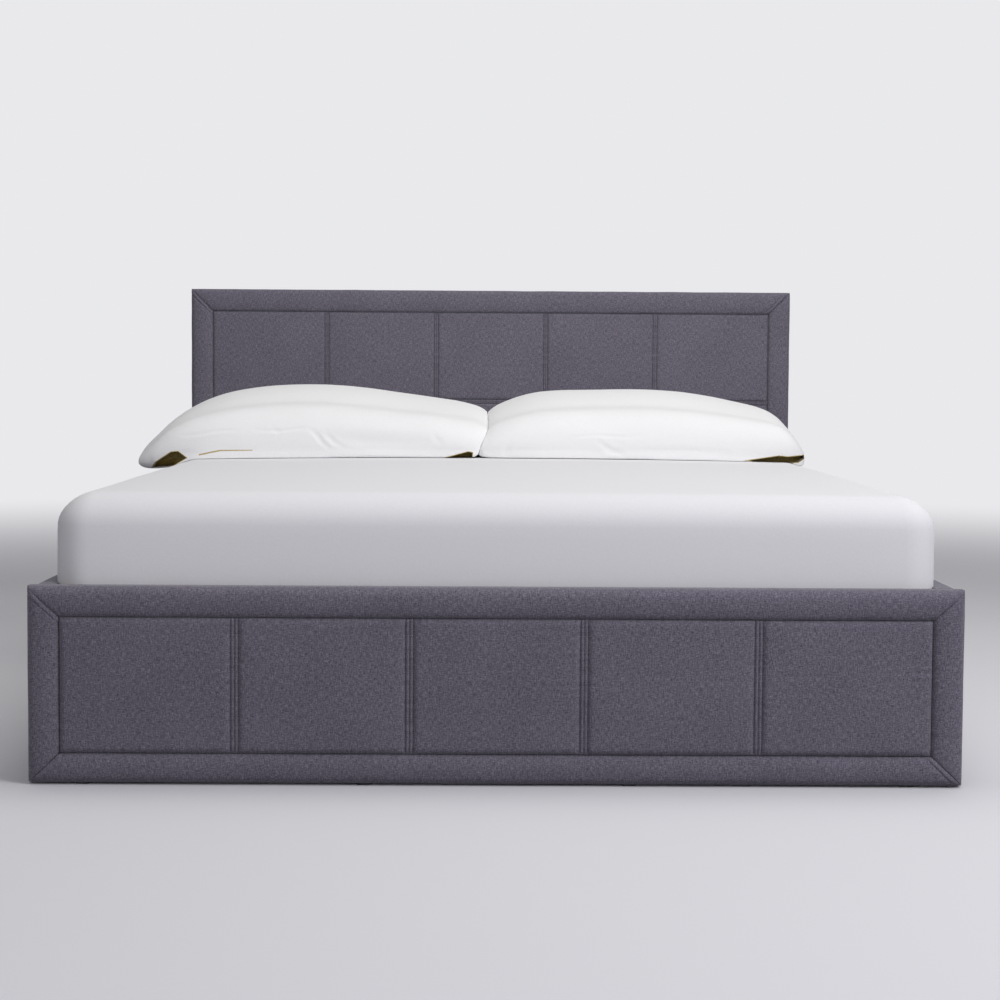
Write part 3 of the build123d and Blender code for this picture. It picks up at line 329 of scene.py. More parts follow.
# tones, fleck size, sheen, roughness, depth of the nap, share of slow creases
clothFinishes = {
    "polyester topstitch thread": (("#5d5a65", "#8b8792"), 0.0012, 0.1, 0.6, 0.0002),
    "black spunbond lining": (("#17171a", "#26262a"), 0.0016, 0.1, 0.9, 0.0003),
    "brushed white sheet cotton": (("#ebebec", "#eeeef0"), 0.004, 0.08, 0.92, 0.0003, 1.0),
    "white cotton percale": (("#f5f5f4", "#fafafa"), 0.0025, 0.1, 0.85, 0.0008, 3.0),
    # the lining's own olive gold, darkened further with painted shade for the inside of the
    # openings
    "olive gold sateen lining darkened with painted shade": (("#5f5226", "#9a8545"), 0.003, 0.2, 0.5, 0.0005, 2.0),
    # the same gold sateen, lightened with painted highlight along the hems of the openings
    "gold sateen hem lightened with painted highlight": (("#a89355", "#cfbd86"), 0.003, 0.2, 0.5, 0.0003, 1.0),
    "quilted knit ticking": (("#d6d3cb", "#ebe9e3"), 0.0035, 0.15, 0.85, 0.0012, 4.0),
    "black polyester webbing": (("#101013", "#2a2a2e"), 0.0015, 0.1, 0.7, 0.0006),
}
cloths = [plainCloth(name, *values) for name, values in clothFinishes.items()]
stitchThread, liningCloth, sheetCotton, pillowCotton = cloths[:4]
shadedGoldLining, litGoldHem, tickingKnit, webbingStrap = cloths[4:]
cadFinishes = {
    "black_steel": coatedSteel(
        "black powder coated steel", ("#1b1b1e", "#3a3b3e"), 0.42, grain=0.0016, peelDepth=0.0003
    ),
    "zinc_steel": bareMetal(
        "zinc plated steel", ("#b9bcbf", "#d8dadb"), 0.34, spread=0.1, scale=120.0
    ),
    "polished_rod": bareMetal(
        "ground and polished rod", ("#c9cbce", "#e4e5e6"), 0.12, 0.05, 60.0, stretch=(1, 12, 12)
    ),
    "timber": sawnWood("planed spruce", ("#b98f5c", "#dcbb8a"), 0.62, 0.009, along=0),
    "floor_panel": mouldedPlastic("dark faced hardboard", ("#26272a", "#34353a"), 0.6, 0.004),
    "beech_slat": sawnWood("laminated beech slat", ("#c39a68", "#e3c79b"), 0.38, 0.004, along=0),
    "black_plastic": mouldedPlastic(
        "black moulded polypropylene", ("#141416", "#202124"), 0.5, 0.0014
    ),
    "rubber_pad": mouldedPlastic("soft black rubber", ("#18181a", "#242427"), 0.85, 0.002),
    "board_fabric": boardWeave,
    "lining_cloth": liningCloth,
    "mattress_ticking": tickingKnit,
    "white_cotton": sheetCotton,
    "webbing": webbingStrap,
}
print("materials ready")


# Shared measures: how far a place is between two others, and how an effect falls off
def clamp(value):
    return min(1, max(0, value))


def fromMiddle(value, low, high):
    return (2 * value - low - high) / (high - low)


def fade(gap, reach):
    return math.exp(-gap / reach)


def bell(gap, reach):
    return math.exp(-((gap / reach) ** 2))


def waver(x, y, z):
    return noise.noise(Vector((x, y, z)))


# Shared ways of shaping and finishing a piece
def startBox(low, high):
    bm = bmesh.new()
    bmesh.ops.create_cube(bm, size=1)
    size = [b - a for a, b in zip(low, high)]
    middle = [(a + b) / 2 for a, b in zip(low, high)]
    bmesh.ops.scale(bm, vec=size, verts=bm.verts)
    bmesh.ops.translate(bm, vec=middle, verts=bm.verts)
    return bm


def cutAt(bm, point, normal, dropOuter=False):
    everything = bm.verts[:] + bm.edges[:] + bm.faces[:]
    return bmesh.ops.bisect_plane(
        bm, geom=everything, dist=1e-6, plane_co=point, plane_no=normal, clear_outer=dropOuter
    )


def slicePlanes(bm, axis, places):
    normal = [0, 0, 0]
    normal[axis] = 1
    for place in places:
        point = [0, 0, 0]
        point[axis] = place
        cutAt(bm, point, normal)


def evenPlaces(low, high, step):
    count = max(2, round((high - low) / step))
    return [low + (high - low) * i / count for i in range(1, count)]


def vertsOf(made):
    return [item for item in made["geom"] if isinstance(item, bmesh.types.BMVert)]


def roundEdges(bm, test, offset, segments):
    # the test is given an edge's middle and its run from end to end
    chosen = []
    for edge in bm.edges:
        start, end = edge.verts[0].co, edge.verts[1].co
        if test((start + end) / 2, end - start):
            chosen.append(edge)
    if chosen:
        bmesh.ops.bevel(
            bm, geom=chosen, offset=offset, segments=segments, profile=0.5,
            affect="EDGES", material=-1, clamp_overlap=True,
        )


def layCloth(mesh):
    # The cloth's own map in metres: each face takes the two axes it lies along.
    layer = mesh.uv_layers.new(name="cloth")
    for face in mesh.polygons:
        n = [abs(c) for c in face.normal]
        across, along = (1, 2) if n[0] == max(n) else (0, 2) if n[1] == max(n) else (0, 1)
        for i in face.loop_indices:
            co = mesh.vertices[mesh.loops[i].vertex_index].co
            layer.data[i].uv = (co[across], co[along])


def addPiece(name, bm, material, body, replaced):
    bmesh.ops.recalc_face_normals(bm, faces=bm.faces)
    mesh = bpy.data.meshes.new(name)
    bm.to_mesh(mesh)
    bm.free()
    for face in mesh.polygons:
        face.use_smooth = True
    mesh.materials.append(material)
    layCloth(mesh)
    piece = bpy.data.objects.new(name, mesh)
    scene.collection.objects.link(piece)
    if replaced:
        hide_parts(*replaced)
    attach(piece, body)
    return piece


def joinInto(target, bm, matrix=None):
    mesh = bpy.data.meshes.new("part of a piece")
    bm.to_mesh(mesh)
    bm.free()
    if matrix:
        mesh.transform(matrix)
    target.from_mesh(mesh)
    bpy.data.meshes.remove(mesh)


def mergedNode(node):
    bm = bmesh.new()
    bm.from_mesh(nodes[node].data)
    bmesh.ops.remove_doubles(bm, verts=bm.verts, dist=1e-6)
    return bm


def solidBoxes(node):
    # Low and high corners of each separate solid of a CAD node.
    bm = mergedNode(node)
    left = set(bm.verts)
    boxes = []
    while left:
        group, reached = set(), [left.pop()]
        while reached:
            vert = reached.pop()
            group.add(vert)
            for link in vert.link_edges:
                other = link.other_vert(vert)
                if other in left:
                    left.discard(other)
                    reached.append(other)
        ends = [[pick(v.co[i] for v in group) for i in range(3)] for pick in (min, max)]
        boxes.append([Vector(end) for end in ends])
    bm.free()
    return sorted(boxes, key=lambda b: (round(b[0].z, 3), b[0].x))


# Upholstered boards: border rails, padded panels, stitched ribs
footboard = {
    "name": "footboard",
    "sides": (0.052, 0.049, 0.050),  # side, top and bottom rails
    "crown": 0.008,
    "shoulder": 0.012,
    "innerShoulder": 0.0075,
    "rows": ["footboard_pads"],
    "padCrown": 0.0025,
    "padShoulder": 0.0105,
    "ribDrop": 0.0045,
    "puckers": 0.0006,
    "rib": 0.0128,
    "puff": (0.0038, 0.0034, 0.0022),  # sideways, up and down
    "puffBack": True,
    "welts": (("left", "top"), ("bottom", "right")),
    "rumples": (
        # pad, side of its seam, height, reach along the seam, depth
        (2, 1, 0.115, 0.04, 0.0022),
        (4, 1, 0.14, 0.04, 0.0015),
        (4, -1, 0.08, 0.03, 0.0012),
        (0, 1, 0.15, 0.05, 0.0008),
    ),
}
headboard = {
    "name": "headboard",
    "sides": (0.054, 0.054, 0.054),
    "crown": 0.006,
    "shoulder": 0.010,
    "innerShoulder": 0.006,
    "rows": ["headboard_upper_pads", "headboard_lower_pads"],
    "padCrown": 0.002,
    "padShoulder": 0.0075,
    "ribDrop": 0.0025,
    "puckers": 0.0004,
    "rib": 0.0098,
    "puff": (0.004, 0.0045, 0.0),
    "puffBack": False,
    "welts": (("left", "top"), ("top", "right")),
    "rumples": (),
}
railCloth = {
    "backRound": 0.005,
    "stepAlong": 0.014,
    "stepAcross": 0.005,
    "sideSlices": (0.024, 0.036),
    "mitreGap": 0.0003,
    "mitreSlices": (0.0014, 0.003, 0.005),
    "weltSlices": (0.0068, 0.0078, 0.0088, 0.0098),
    "mitreDip": (0.0034, 0.003),  # depth, reach
    "mitreRumple": (0.0005, 0.02),
    "weltGroove": (0.0020, 0.0083, 0.0011),  # depth, place beside the mitre, half width
    "weltRidge": (0.0012, 0.0045, 0.003),
    "unevenness": 0.0008,
    "pucker": 0.0007,
    "innerWaves": (0.0011, 0.0005),  # slow and quick
    "outerWaves": (0.0008, 0.0004),
    "edgeReach": 0.009,
    "calmReach": 0.03,
}
puffReach = 0.6  # share of a rail's width over which the wadding swells
padCloth = {
    "overlap": 0.00032,
    "stepAcross": 0.0085,
    "stepUp": 0.0042,
    "frontDepth": 0.014,
    "unevenness": 0.0008,
    "puckerPitch": 0.0125,
    "puckerReach": 0.014,
    "rumpleReach": 0.03,
    "edgePucker": (0.0006, 0.012),  # depth, reach
}
ribCloth = {
    "slices": (-0.38, -0.25, -0.12, -0.05, 0, 0.05, 0.12, 0.25, 0.38),  # shares of its width
    "step": 0.005,
    "groove": 0.25,  # share of its width
    "unevenness": 0.0003,
    "endDip": (0.003, 0.004),  # depth, reach
}
bandCloth = {"slices": (0.12, 0.25, 0.4, 0.5, 0.6, 0.75, 0.88), "step": 0.012, "groove": 0.0024}
stitching = {
    "places": (-0.29, 0.29),  # shares of the rib's width
    "rise": 0.05,
    "pitch": 0.0052,
    "length": 0.0036,
    "radius": 0.00045,
    "start": 0.005,
    "spare": 0.008,
    "slant": 0.06,
}


def borderRail(length, width, depth, startRun, endRun, board, welt, seed):
    # The rail runs along X with its inner edge at z = 0 and its front at y = 0.
    crown, shoulder, innerShoulder = board["crown"], board["shoulder"], board["innerShoulder"]
    bm = startBox((0, crown, 0), (length, depth, width))
    corners = (
        (lambda co: co.y < depth / 2 and co.z > width / 2, shoulder, 6),
        (lambda co: co.y < depth / 2 and co.z < width / 2, innerShoulder, 5),
        (lambda co: co.y > depth * 0.9 and co.z > width * 0.9, railCloth["backRound"], 3),
    )
    for here, radius, segments in corners:
        roundEdges(bm, lambda co, run: abs(run.x) > length / 2 and here(co), radius, segments)
    slicePlanes(bm, 0, evenPlaces(0, length, railCloth["stepAlong"]))
    slicePlanes(bm, 2, evenPlaces(innerShoulder, width - shoulder, railCloth["stepAcross"]))
    slicePlanes(bm, 1, railCloth["sideSlices"])
    ends = (
        (Vector((0, 0, width)), Vector((-width, 0, -startRun)).normalized()),
        (Vector((length, 0, width)), Vector((width, 0, -endRun)).normalized()),
    )
    for i, (corner, outward) in enumerate(ends):
        weltSlices = railCloth["weltSlices"] if welt == i else ()
        for back in (*weltSlices, *railCloth["mitreSlices"]):
            cutAt(bm, corner - outward * back, outward)
        cut = cutAt(bm, corner - outward * railCloth["mitreGap"], outward, dropOuter=True)
        rim = [item for item in cut["geom_cut"] if isinstance(item, bmesh.types.BMEdge)]
        bmesh.ops.holes_fill(bm, edges=rim)
    dip, dipReach = railCloth["mitreDip"]
    rumple, rumpleReach = railCloth["mitreRumple"]
    groove, groovePlace, grooveWidth = railCloth["weltGroove"]
    ridge, ridgePlace, ridgeWidth = railCloth["weltRidge"]
    for vert in bm.verts:
        co = vert.co
        front = max(0, 1 - co.y / (depth * 0.6))
        lift = crown * (1 - (2 * clamp(co.z / width) - 1) ** 2)
        slow = waver(co.x * 9 + seed, co.z * 25, seed) * railCloth["unevenness"]
        inner = fade(co.z, railCloth["edgeReach"])
        outer = fade(width - min(co.z, width), railCloth["edgeReach"])
        pucker = waver(co.x * 95 + seed, co.z * 20, 3) * railCloth["pucker"] * inner
        sink, gaps = 0, [(corner - co).dot(outward) for corner, outward in ends]
        for i, away in enumerate(gaps):
            sink += dip * fade(max(away, 0), dipReach)
            if welt == i:
                sink += groove * bell(away - groovePlace, grooveWidth)
                sink -= ridge * bell(away - ridgePlace, ridgeWidth)
            sink += waver(co.z * 160, seed, 1) * rumple * fade(max(away, 0), rumpleReach)
        # the hand-pulled cloth waves a little along both long edges
        slowWave, quickWave = railCloth["innerWaves"]
        wave = waver(co.x * 17, seed, 2) * slowWave + waver(co.x * 46, seed, 8) * quickWave
        slowWave, quickWave = railCloth["outerWaves"]
        rise = waver(co.x * 13, seed, 5) * slowWave + waver(co.x * 50, seed, 7) * quickWave
        calm = min(1, max(0, min(gaps)) / railCloth["calmReach"])
        co.y -= (lift + slow + pucker - sink) * front
        co.z += (wave * inner + rise * outer) * calm * front
    return bm


def dressBorder(board):
    node = board["name"] + "_border"
    low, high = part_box(node)
    side, top, bottom = board["sides"]
    depth = high.y - low.y
    width, height = high.x - low.x, high.z - low.z
    border = bmesh.new()
    rails = {
        # length, width, runs of the mitres, place and turn
        "top": (width, top, side, side, (low.x, low.y, high.z - top), 0),
        "right": (height, side, top, bottom, (high.x - side, low.y, high.z), 90),
        "bottom": (width, bottom, side, side, (high.x, low.y, low.z + bottom), 180),
        "left": (height, side, bottom, top, (low.x + side, low.y, low.z), -90),
    }
    order = list(rails)
    for i, (length, across, startRun, endRun, place, turn) in enumerate(rails.values()):
        welt = None
        for flapped, meeting in board["welts"]:
            if flapped == order[i]:
                welt = 1 if order[(i + 1) % 4] == meeting else 0
        rail = borderRail(length, across, depth, startRun, endRun, board, welt, i * 7.3 + 1)
        turned = Matrix.Rotation(math.radians(turn), 4, "Y")
        joinInto(border, rail, Matrix.Translation(place) @ turned)
    sideways, up, down = board["puff"]
    centre = (low + high) / 2
    for vert in border.verts:
        # the wadding under the cloth stands a little proud of the board all round
        co = vert.co
        back = clamp((co.y - low.y) / depth)
        over = math.sin(math.pi * back) ** 0.5 if board["puffBack"] else 1 - back
        atSide = max(0, (abs(co.x - centre.x) - width / 2) / (side * puffReach) + 1)
        atTop = max(0, (co.z - high.z) / (top * puffReach) + 1)
        atBottom = max(0, (low.z - co.z) / (bottom * puffReach) + 1)
        co.x += math.copysign(sideways, co.x - centre.x) * (1 - back) * atSide
        co.z += up * over * atTop
        co.z -= down * (1 - back) * atBottom
    name = board["name"] + "_border_cover"
    piece = addPiece(name, border, boardWeave, "frame", [node])


def padPanel(low, high, board, index, seed):
    crown, shoulder, overlap = board["padCrown"], board["padShoulder"], padCloth["overlap"]
    start = Vector((low.x - overlap, low.y + crown, low.z - overlap))
    end = Vector((high.x + overlap, high.y, high.z + overlap))
    edgePucker, edgeReach = padCloth["edgePucker"]
    bm = startBox(start, end)
    roundEdges(bm, lambda middle, run: middle.y < start.y + 1e-4, shoulder, 7)
    slicePlanes(bm, 0, evenPlaces(start.x + shoulder, end.x - shoulder, padCloth["stepAcross"]))
    slicePlanes(bm, 2, evenPlaces(start.z + shoulder, end.z - shoulder, padCloth["stepUp"]))
    for vert in bm.verts:
        co = vert.co
        u, w = fromMiddle(co.x, start.x, end.x), fromMiddle(co.z, start.z, end.z)
        ahead = max(0, 1 - (co.y - start.y) / padCloth["frontDepth"])
        lift = crown * (1 - min(1, abs(u)) ** 3) * (1 - min(1, abs(w)) ** 2.5)
        lift += waver(co.x * 11 + seed, co.z * 11, seed) * padCloth["unevenness"]
        for sign, gap in ((-1, co.x - start.x), (1, end.x - co.x)):
            near = fade(max(gap, 0), padCloth["puckerReach"])
            wander = waver(co.z * 14, seed, sign) * 5
            strength = board["puckers"] * (0.5 + max(0, waver(co.z * 9, seed + 3, sign)))
            for pad, seamSide, height, reach, deep in board["rumples"]:
                if pad == index and seamSide == sign:
                    there = bell(co.z - start.z - height, reach)
                    strength += deep * there
                    near = max(near, there * fade(max(gap, 0), padCloth["rumpleReach"]))
            turn = co.z * 2 * math.pi / padCloth["puckerPitch"] + wander
            lift += strength * near * math.sin(turn)
        edge = min(co.z - start.z, end.z - co.z)
        lift += waver(co.x * 70, seed, 9) * edgePucker * fade(max(edge, 0), edgeReach)
        co.y -= lift * ahead
    return bm


def seamRib(x, low, high, front, back, width, seed):
    # Two soft beads with a groove between them, drawn in at both ends.
    bm = startBox((x - width / 2, front, low), (x + width / 2, back, high))
    slicePlanes(bm, 0, [x + width * share for share in ribCloth["slices"]])
    slicePlanes(bm, 2, evenPlaces(low, high, ribCloth["step"]))
    endDip, endReach = ribCloth["endDip"]
    for vert in bm.verts:
        co = vert.co
        share = abs(co.x - x) / (width / 2)
        if co.y < (front + back) / 2:
            bead = 1 - ((share - 0.5) / 0.5) ** 2
            dip = waver(co.z * 120, x * 10, seed) * ribCloth["unevenness"]
            co.y += width * ribCloth["groove"] * (1 - bead) + dip
            co.y += endDip * fade(min(co.z - low, high - co.z), endReach)
    return bm


def seamBand(board):
    # The double seam between two rows of pads: the same two beads, lying level.
    upper, lower = (solidBoxes(row) for row in board["rows"])
    low = (lower[0][0].x, lower[0][0].y + board["ribDrop"], lower[0][1].z)
    high = (lower[-1][1].x, lower[0][1].y, upper[0][0].z)
    bm = startBox(low, high)
    slicePlanes(bm, 2, [low[2] + (high[2] - low[2]) * s for s in bandCloth["slices"]])
    slicePlanes(bm, 0, evenPlaces(low[0], high[0], bandCloth["step"]))
    for vert in bm.verts:
        share = abs(2 * (vert.co.z - low[2]) / (high[2] - low[2]) - 1)
        if vert.co.y < low[1] + 0.001:
            vert.co.y += bandCloth["groove"] * (1 - (1 - ((share - 0.5) / 0.5) ** 2))
    return bm


def stitchRow(target, x, low, high, y):
    length, radius = stitching["length"], stitching["radius"]
    for i in range(int((high - low - stitching["spare"]) / stitching["pitch"])):
        z = low + stitching["start"] + i * stitching["pitch"]
        slant = Matrix.Rotation(stitching["slant"] * math.sin(i * 2.1), 3, "Y")
        bm = bmesh.new()
        bmesh.ops.create_icosphere(bm, subdivisions=1, radius=radius)
        bmesh.ops.scale(bm, vec=(1, 0.8, length / (2 * radius)), verts=bm.verts)
        bmesh.ops.rotate(bm, matrix=slant, verts=bm.verts)
        bmesh.ops.translate(bm, vec=(x, y, z + length / 2), verts=bm.verts)
        joinInto(target, bm)


def dressPanels(board):
    ribs = bmesh.new()
    threads = bmesh.new()
    width = board["rib"]
    for row, node in enumerate(board["rows"]):
        panel = bmesh.new()
        boxes = sorted(solidBoxes(node), key=lambda b: b[0].x)
        for i, (low, high) in enumerate(boxes):
            joinInto(panel, padPanel(low, high, board, i, i * 3.7 + row * 11))
        name = node.replace("_pads", "_padding")
        piece = addPiece(name, panel, boardWeave, "frame", [node])
        front = boxes[0][0].y + board["ribDrop"]
        for (low, high), (nextLow, nextHigh) in zip(boxes[:-1], boxes[1:]):
            x = (high.x + nextLow.x) / 2
            joinInto(ribs, seamRib(x, low.z, high.z, front, high.y, width, row))
            for share in stitching["places"]:
                y = front + width * stitching["rise"]
                stitchRow(threads, x + width * share, low.z, high.z, y)
    if len(board["rows"]) == 2:
        joinInto(ribs, seamBand(board))
    node = board["name"] + "_seam_bands"
    piece = addPiece(board["name"] + "_ribs", ribs, boardWeave, "frame", [node])
    name = board["name"] + "_topstitching"
    addPiece(name, threads, stitchThread, "frame", [])


for board in (footboard, headboard):
    dressBorder(board)
    dressPanels(board)
    print(board["name"], "dressed")


# Side rail covers: padding on the outer face, wrapped over the top
railCover = {
    "crown": 0.002,
    "edge": 0.009,
    "innerEdge": 0.003,
    "step": 0.02,
    "unevenness": 0.0009,
    "seamRumple": (0.0008, 0.03),  # depth, reach
    "seamDip": (0.003, 0.004),
    "topRumple": (0.0005, 0.02),
}


def dressSideRail(side):
    # Shaped as the right cover, and mirrored for the left one.
    node = "side_rail_pad_" + side
    low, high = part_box(node)
    coreLow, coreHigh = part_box("side_rail_core_" + side)
    sign = 1 if side == "right" else -1
    inner = low.x if sign > 0 else -high.x
    outer = high.x if sign > 0 else -low.x
    coreOuter = coreHigh.x if sign > 0 else -coreLow.x
    bm = startBox((coreOuter, low.y, low.z), (outer - railCover["crown"], high.y, high.z))
    slicePlanes(bm, 2, [coreHigh.z])
    step = [f for f in bm.faces if f.normal.x < -0.9 and f.calc_center_median().z > coreHigh.z]
    flap = vertsOf(bmesh.ops.extrude_face_region(bm, geom=step))
    bmesh.ops.translate(bm, vec=(inner - coreOuter, 0, 0), verts=flap)
    bmesh.ops.delete(bm, geom=step, context="FACES")

    def atOuter(middle, run):
        return abs(run.y) > 1 and middle.x > outer - 0.004

    def atInnerTop(middle, run):
        return abs(run.y) > 1 and middle.x < inner + 0.001 and middle.z > high.z - 0.001

    roundEdges(bm, atOuter, railCover["edge"], 5)
    roundEdges(bm, atInnerTop, railCover["innerEdge"], 2)
    slicePlanes(bm, 1, evenPlaces(low.y, high.y, railCover["step"]))
    slicePlanes(bm, 2, evenPlaces(low.z + 0.01, high.z - 0.012, railCover["step"]))
    rumple, rumpleReach = railCover["seamRumple"]
    dip, dipReach = railCover["seamDip"]
    topRumple, topReach = railCover["topRumple"]
    for vert in bm.verts:
        co = vert.co
        share = (co.z - low.z) / (high.z - low.z)
        if co.x > outer - 0.006:
            lift = railCover["crown"] * (1 - abs(2 * share - 1) ** 3)
            lift += waver(co.y * 5, co.z * 9, 2.5 * sign) * railCover["unevenness"]
            seamGap = min(co.y - low.y, high.y - co.y)
            lift += waver(co.z * 60, sign, 4) * rumple * fade(seamGap, rumpleReach)
            lift -= dip * fade(seamGap, dipReach)
            lift += waver(co.y * 80, sign, 6) * topRumple * fade(high.z - co.z, topReach)
            co.x += lift
    bmesh.ops.scale(bm, vec=(sign, 1, 1), verts=bm.verts)
    piece = addPiece("side_rail_cover_" + side, bm, boardWeave, "frame", [node])


for side in ("left", "right"):
    dressSideRail(side)
print("side rails dressed")


# Flat cloths: the footboard's inner lining, the headboard's skirt and back cloth
flatCloths = {"step": 0.03, "pull": 0.6, "pullReach": 0.02, "heldEdge": 0.01}


def flatCloth(name, node, material, ripple, edge):
    low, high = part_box(node)
    bm = startBox(low, high)
    roundEdges(bm, lambda middle, run: True, edge, 2)
    slicePlanes(bm, 0, evenPlaces(low.x, high.x, flatCloths["step"]))
    slicePlanes(bm, 2, evenPlaces(low.z, high.z, flatCloths["step"]))
    for vert in bm.verts:
        co = vert.co
        edgeGap = max(min(co.x - low.x, high.x - co.x, co.z - low.z, high.z - co.z), 0)
        wave = waver(co.x * 6, co.z * 9, 1.7) * ripple
        pull = waver(co.x * 40, co.z * 40, 5) * ripple * flatCloths["pull"]
        pull *= fade(edgeGap, flatCloths["pullReach"])
        co.y += (wave + pull) * min(1, edgeGap / flatCloths["heldEdge"])
    return addPiece(name, bm, material, "frame", [node]), low, high


for name, node, core, ripple in (
    ("footboard_inner_lining", "footboard_lining", "footboard_core", 0.0004),
    ("headboard_back_lining", "headboard_back_cloth", "headboard_core", 0.0006),
):
    piece, low, high = flatCloth(name, node, liningCloth, ripple, 0.0006)
piece, low, high = flatCloth(
    "headboard_skirt_panel", "headboard_skirt", boardWeave, 0.0006, 0.004
)
print("lining cloths ready")


# Mattress and fitted sheet
mattress = {
    "clearance": 0.002,  # between the body and the sheet that is stretched over it
    "plan": 0.055,
    "shoulder": 0.062,
    "hem": 0.018,
    "dome": 0.008,
    "step": 0.034,
    "stepUp": 0.009,
    "sideBulge": 0.012,
    "endBulge": 0.007,
    "flat": (0.22, 0.68),  # shares of its height between which the sides bulge evenly
}
sheet = {
    "thickness": 0.001,
    "skirtTop": 0.06,
    "skirtFade": 0.1,
    "skirtFold": 0.0007,
    "cornerFold": 0.003,
    "topFade": 0.05,
    "topWave": 0.0010,
    "sideBand": 0.07,
    "deepest": -0.0002,
}


def mattressShape(node, openBelow):
    # Rounded block first, then its sides swell between base and shoulder and its top domes.
    low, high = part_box(node)
    if not openBelow:
        gap = mattress["clearance"]
        low, high = low + Vector((gap, gap, 0)), high - Vector((gap, gap, gap))
    sideBulge, endBulge = mattress["sideBulge"], mattress["endBulge"]
    start = Vector((low.x + sideBulge, low.y + endBulge, low.z))
    end = Vector((high.x - sideBulge, high.y - endBulge, high.z - mattress["dome"]))
    bm = startBox(start, end)
    roundEdges(bm, lambda middle, run: abs(run.z) > 0.1, mattress["plan"], 8)
    roundEdges(bm, lambda middle, run: middle.z > end.z - 1e-4, mattress["shoulder"], 9)
    if not openBelow:
        roundEdges(bm, lambda middle, run: middle.z < start.z + 1e-4, mattress["hem"], 4)
    slicePlanes(bm, 0, evenPlaces(start.x + 0.1, end.x - 0.1, mattress["step"]))
    slicePlanes(bm, 1, evenPlaces(start.y + 0.1, end.y - 0.1, mattress["step"]))
    lowest = start.z + (0.001 if openBelow else 0.020)
    highest = end.z - mattress["shoulder"] - 0.002
    slicePlanes(bm, 2, evenPlaces(lowest, highest, mattress["stepUp"]))
    height = end.z - start.z
    base, shoulder = mattress["flat"]
    tuck = 2 if openBelow else 3
    for vert in bm.verts:
        co = vert.co
        u, w = fromMiddle(co.x, start.x, end.x), fromMiddle(co.y, start.y, end.y)
        share = (co.z - start.z) / height
        swell = 1 - tuck * (max(0, base - share) / base) ** 2
        swell -= (max(0, share - shoulder) / (1 - shoulder)) ** 2
        co.x += sideBulge * u * swell * min(1, abs(u)) ** 8
        co.y += endBulge * w * swell * min(1, abs(w)) ** 8
        dome = (1 - min(1, abs(u)) ** 2.2) * (1 - 0.75 * min(1, abs(w)) ** 2.4)
        co.z += mattress["dome"] * dome * max(0, share - 0.5) * 2
    return bm, low, high


def dressMattress():
    bm, low, high = mattressShape("mattress", False)
    piece = addPiece("mattress_body", bm, tickingKnit, "platform", ["mattress"])
    bm, low, high = mattressShape("fitted_sheet", True)
    lowest = low.z + 0.0005
    under = [f for f in bm.faces if f.normal.z < -0.9 and f.calc_center_median().z < lowest]
    bmesh.ops.delete(bm, geom=under, context="FACES")
    for vert in bm.verts:
        co = vert.co
        side = clamp((high.z - sheet["skirtTop"] - co.z) / sheet["skirtFade"])
        # folds gather where side and end meet
        corner = max(0, abs(co.x) / high.x - 0.9) * max(0, abs(co.y) / high.y - 0.85) * 60
        fold = waver(co.x * 7, co.y * 7, co.z * 2) * sheet["skirtFold"] * side
        fold += abs(waver(co.x * 26, co.y * 26, 8)) * sheet["cornerFold"] * corner * side
        top = max(0, 1 - (high.z - co.z) / sheet["topFade"])
        co.z += waver(co.x * 1.6, co.y * 5, 4) * sheet["topWave"] * top
        outward = Vector((0, 0, 0))
        for i in (0, 1):
            if abs(co[i]) > high[i] - sheet["sideBand"]:
                outward[i] = math.copysign(1, co[i])
        co += outward * max(fold, sheet["deepest"])
    bmesh.ops.recalc_face_normals(bm, faces=bm.faces)
    bmesh.ops.solidify(bm, geom=bm.faces[:], thickness=sheet["thickness"])
    replaced = ["fitted_sheet"]
    piece = addPiece("fitted_sheet_cover", bm, sheetCotton, "platform", replaced)
    return piece


sheetPiece = dressMattress()
print("mattress and sheet ready")


# Pillows: the cased form is inflated as cloth, settled on the sheet and pressed against its
# neighbour, then folded and opened where the photograph shows it
pillowShape = {
    "voxel": 0.011,
    "frames": 20,
    "cap": 0.004,  # the farthest that the filling pushes the cloth
    "smooth": 20,
    "settle": 0.02,
    "settledGap": 0.0006,
    "column": 0.02,
    "hemReach": 0.05,
    "hemHeight": 0.034,
    "frontTop": 0.60,
    "lumps": (0.0022, 0.0006),  # slow and quick
}
pillowFilling = {
    "quality": 5,
    "mass": 0.25,
    "tension_stiffness": 12,
    "bending_stiffness": 0.4,
    "use_pressure": True,
    "uniform_pressure_force": 4.0,
    "shrink_min": -0.03,
}
pillowMeeting = {"x": -0.0088, "press": 0.013, "reach": 0.05, "tuck": 0.030, "gap": 0.0002}
pillowCreases = {
    # start, end (x, z), depth, half width
    "left": (
        ((-0.74, 0.548), (-0.60, 0.560), 0.0011, 0.0035),
        ((-0.56, 0.5585), (-0.43, 0.5635), 0.0012, 0.0035),
        ((-0.43, 0.563), (-0.385, 0.520), 0.0021, 0.005),
        ((-0.395, 0.550), (-0.350, 0.520), 0.0018, 0.005),
        ((-0.52, 0.569), (-0.50, 0.550), 0.0010, 0.005),
        ((-0.40, 0.540), (-0.14, 0.531), 0.0040, 0.016),
        ((-0.14, 0.555), (-0.12, 0.530), 0.0012, 0.006),
    ),
    "right": (
        ((0.19, 0.5500), (0.36, 0.5525), 0.0011, 0.0035),
        ((0.25, 0.535), (0.31, 0.505), 0.0024, 0.006),
        ((0.04, 0.530), (0.03, 0.505), 0.0018, 0.006),
        ((0.14, 0.600), (0.19, 0.575), 0.0010, 0.007),
        ((0.36, 0.520), (0.56, 0.515), 0.0012, 0.006),
    ),
}
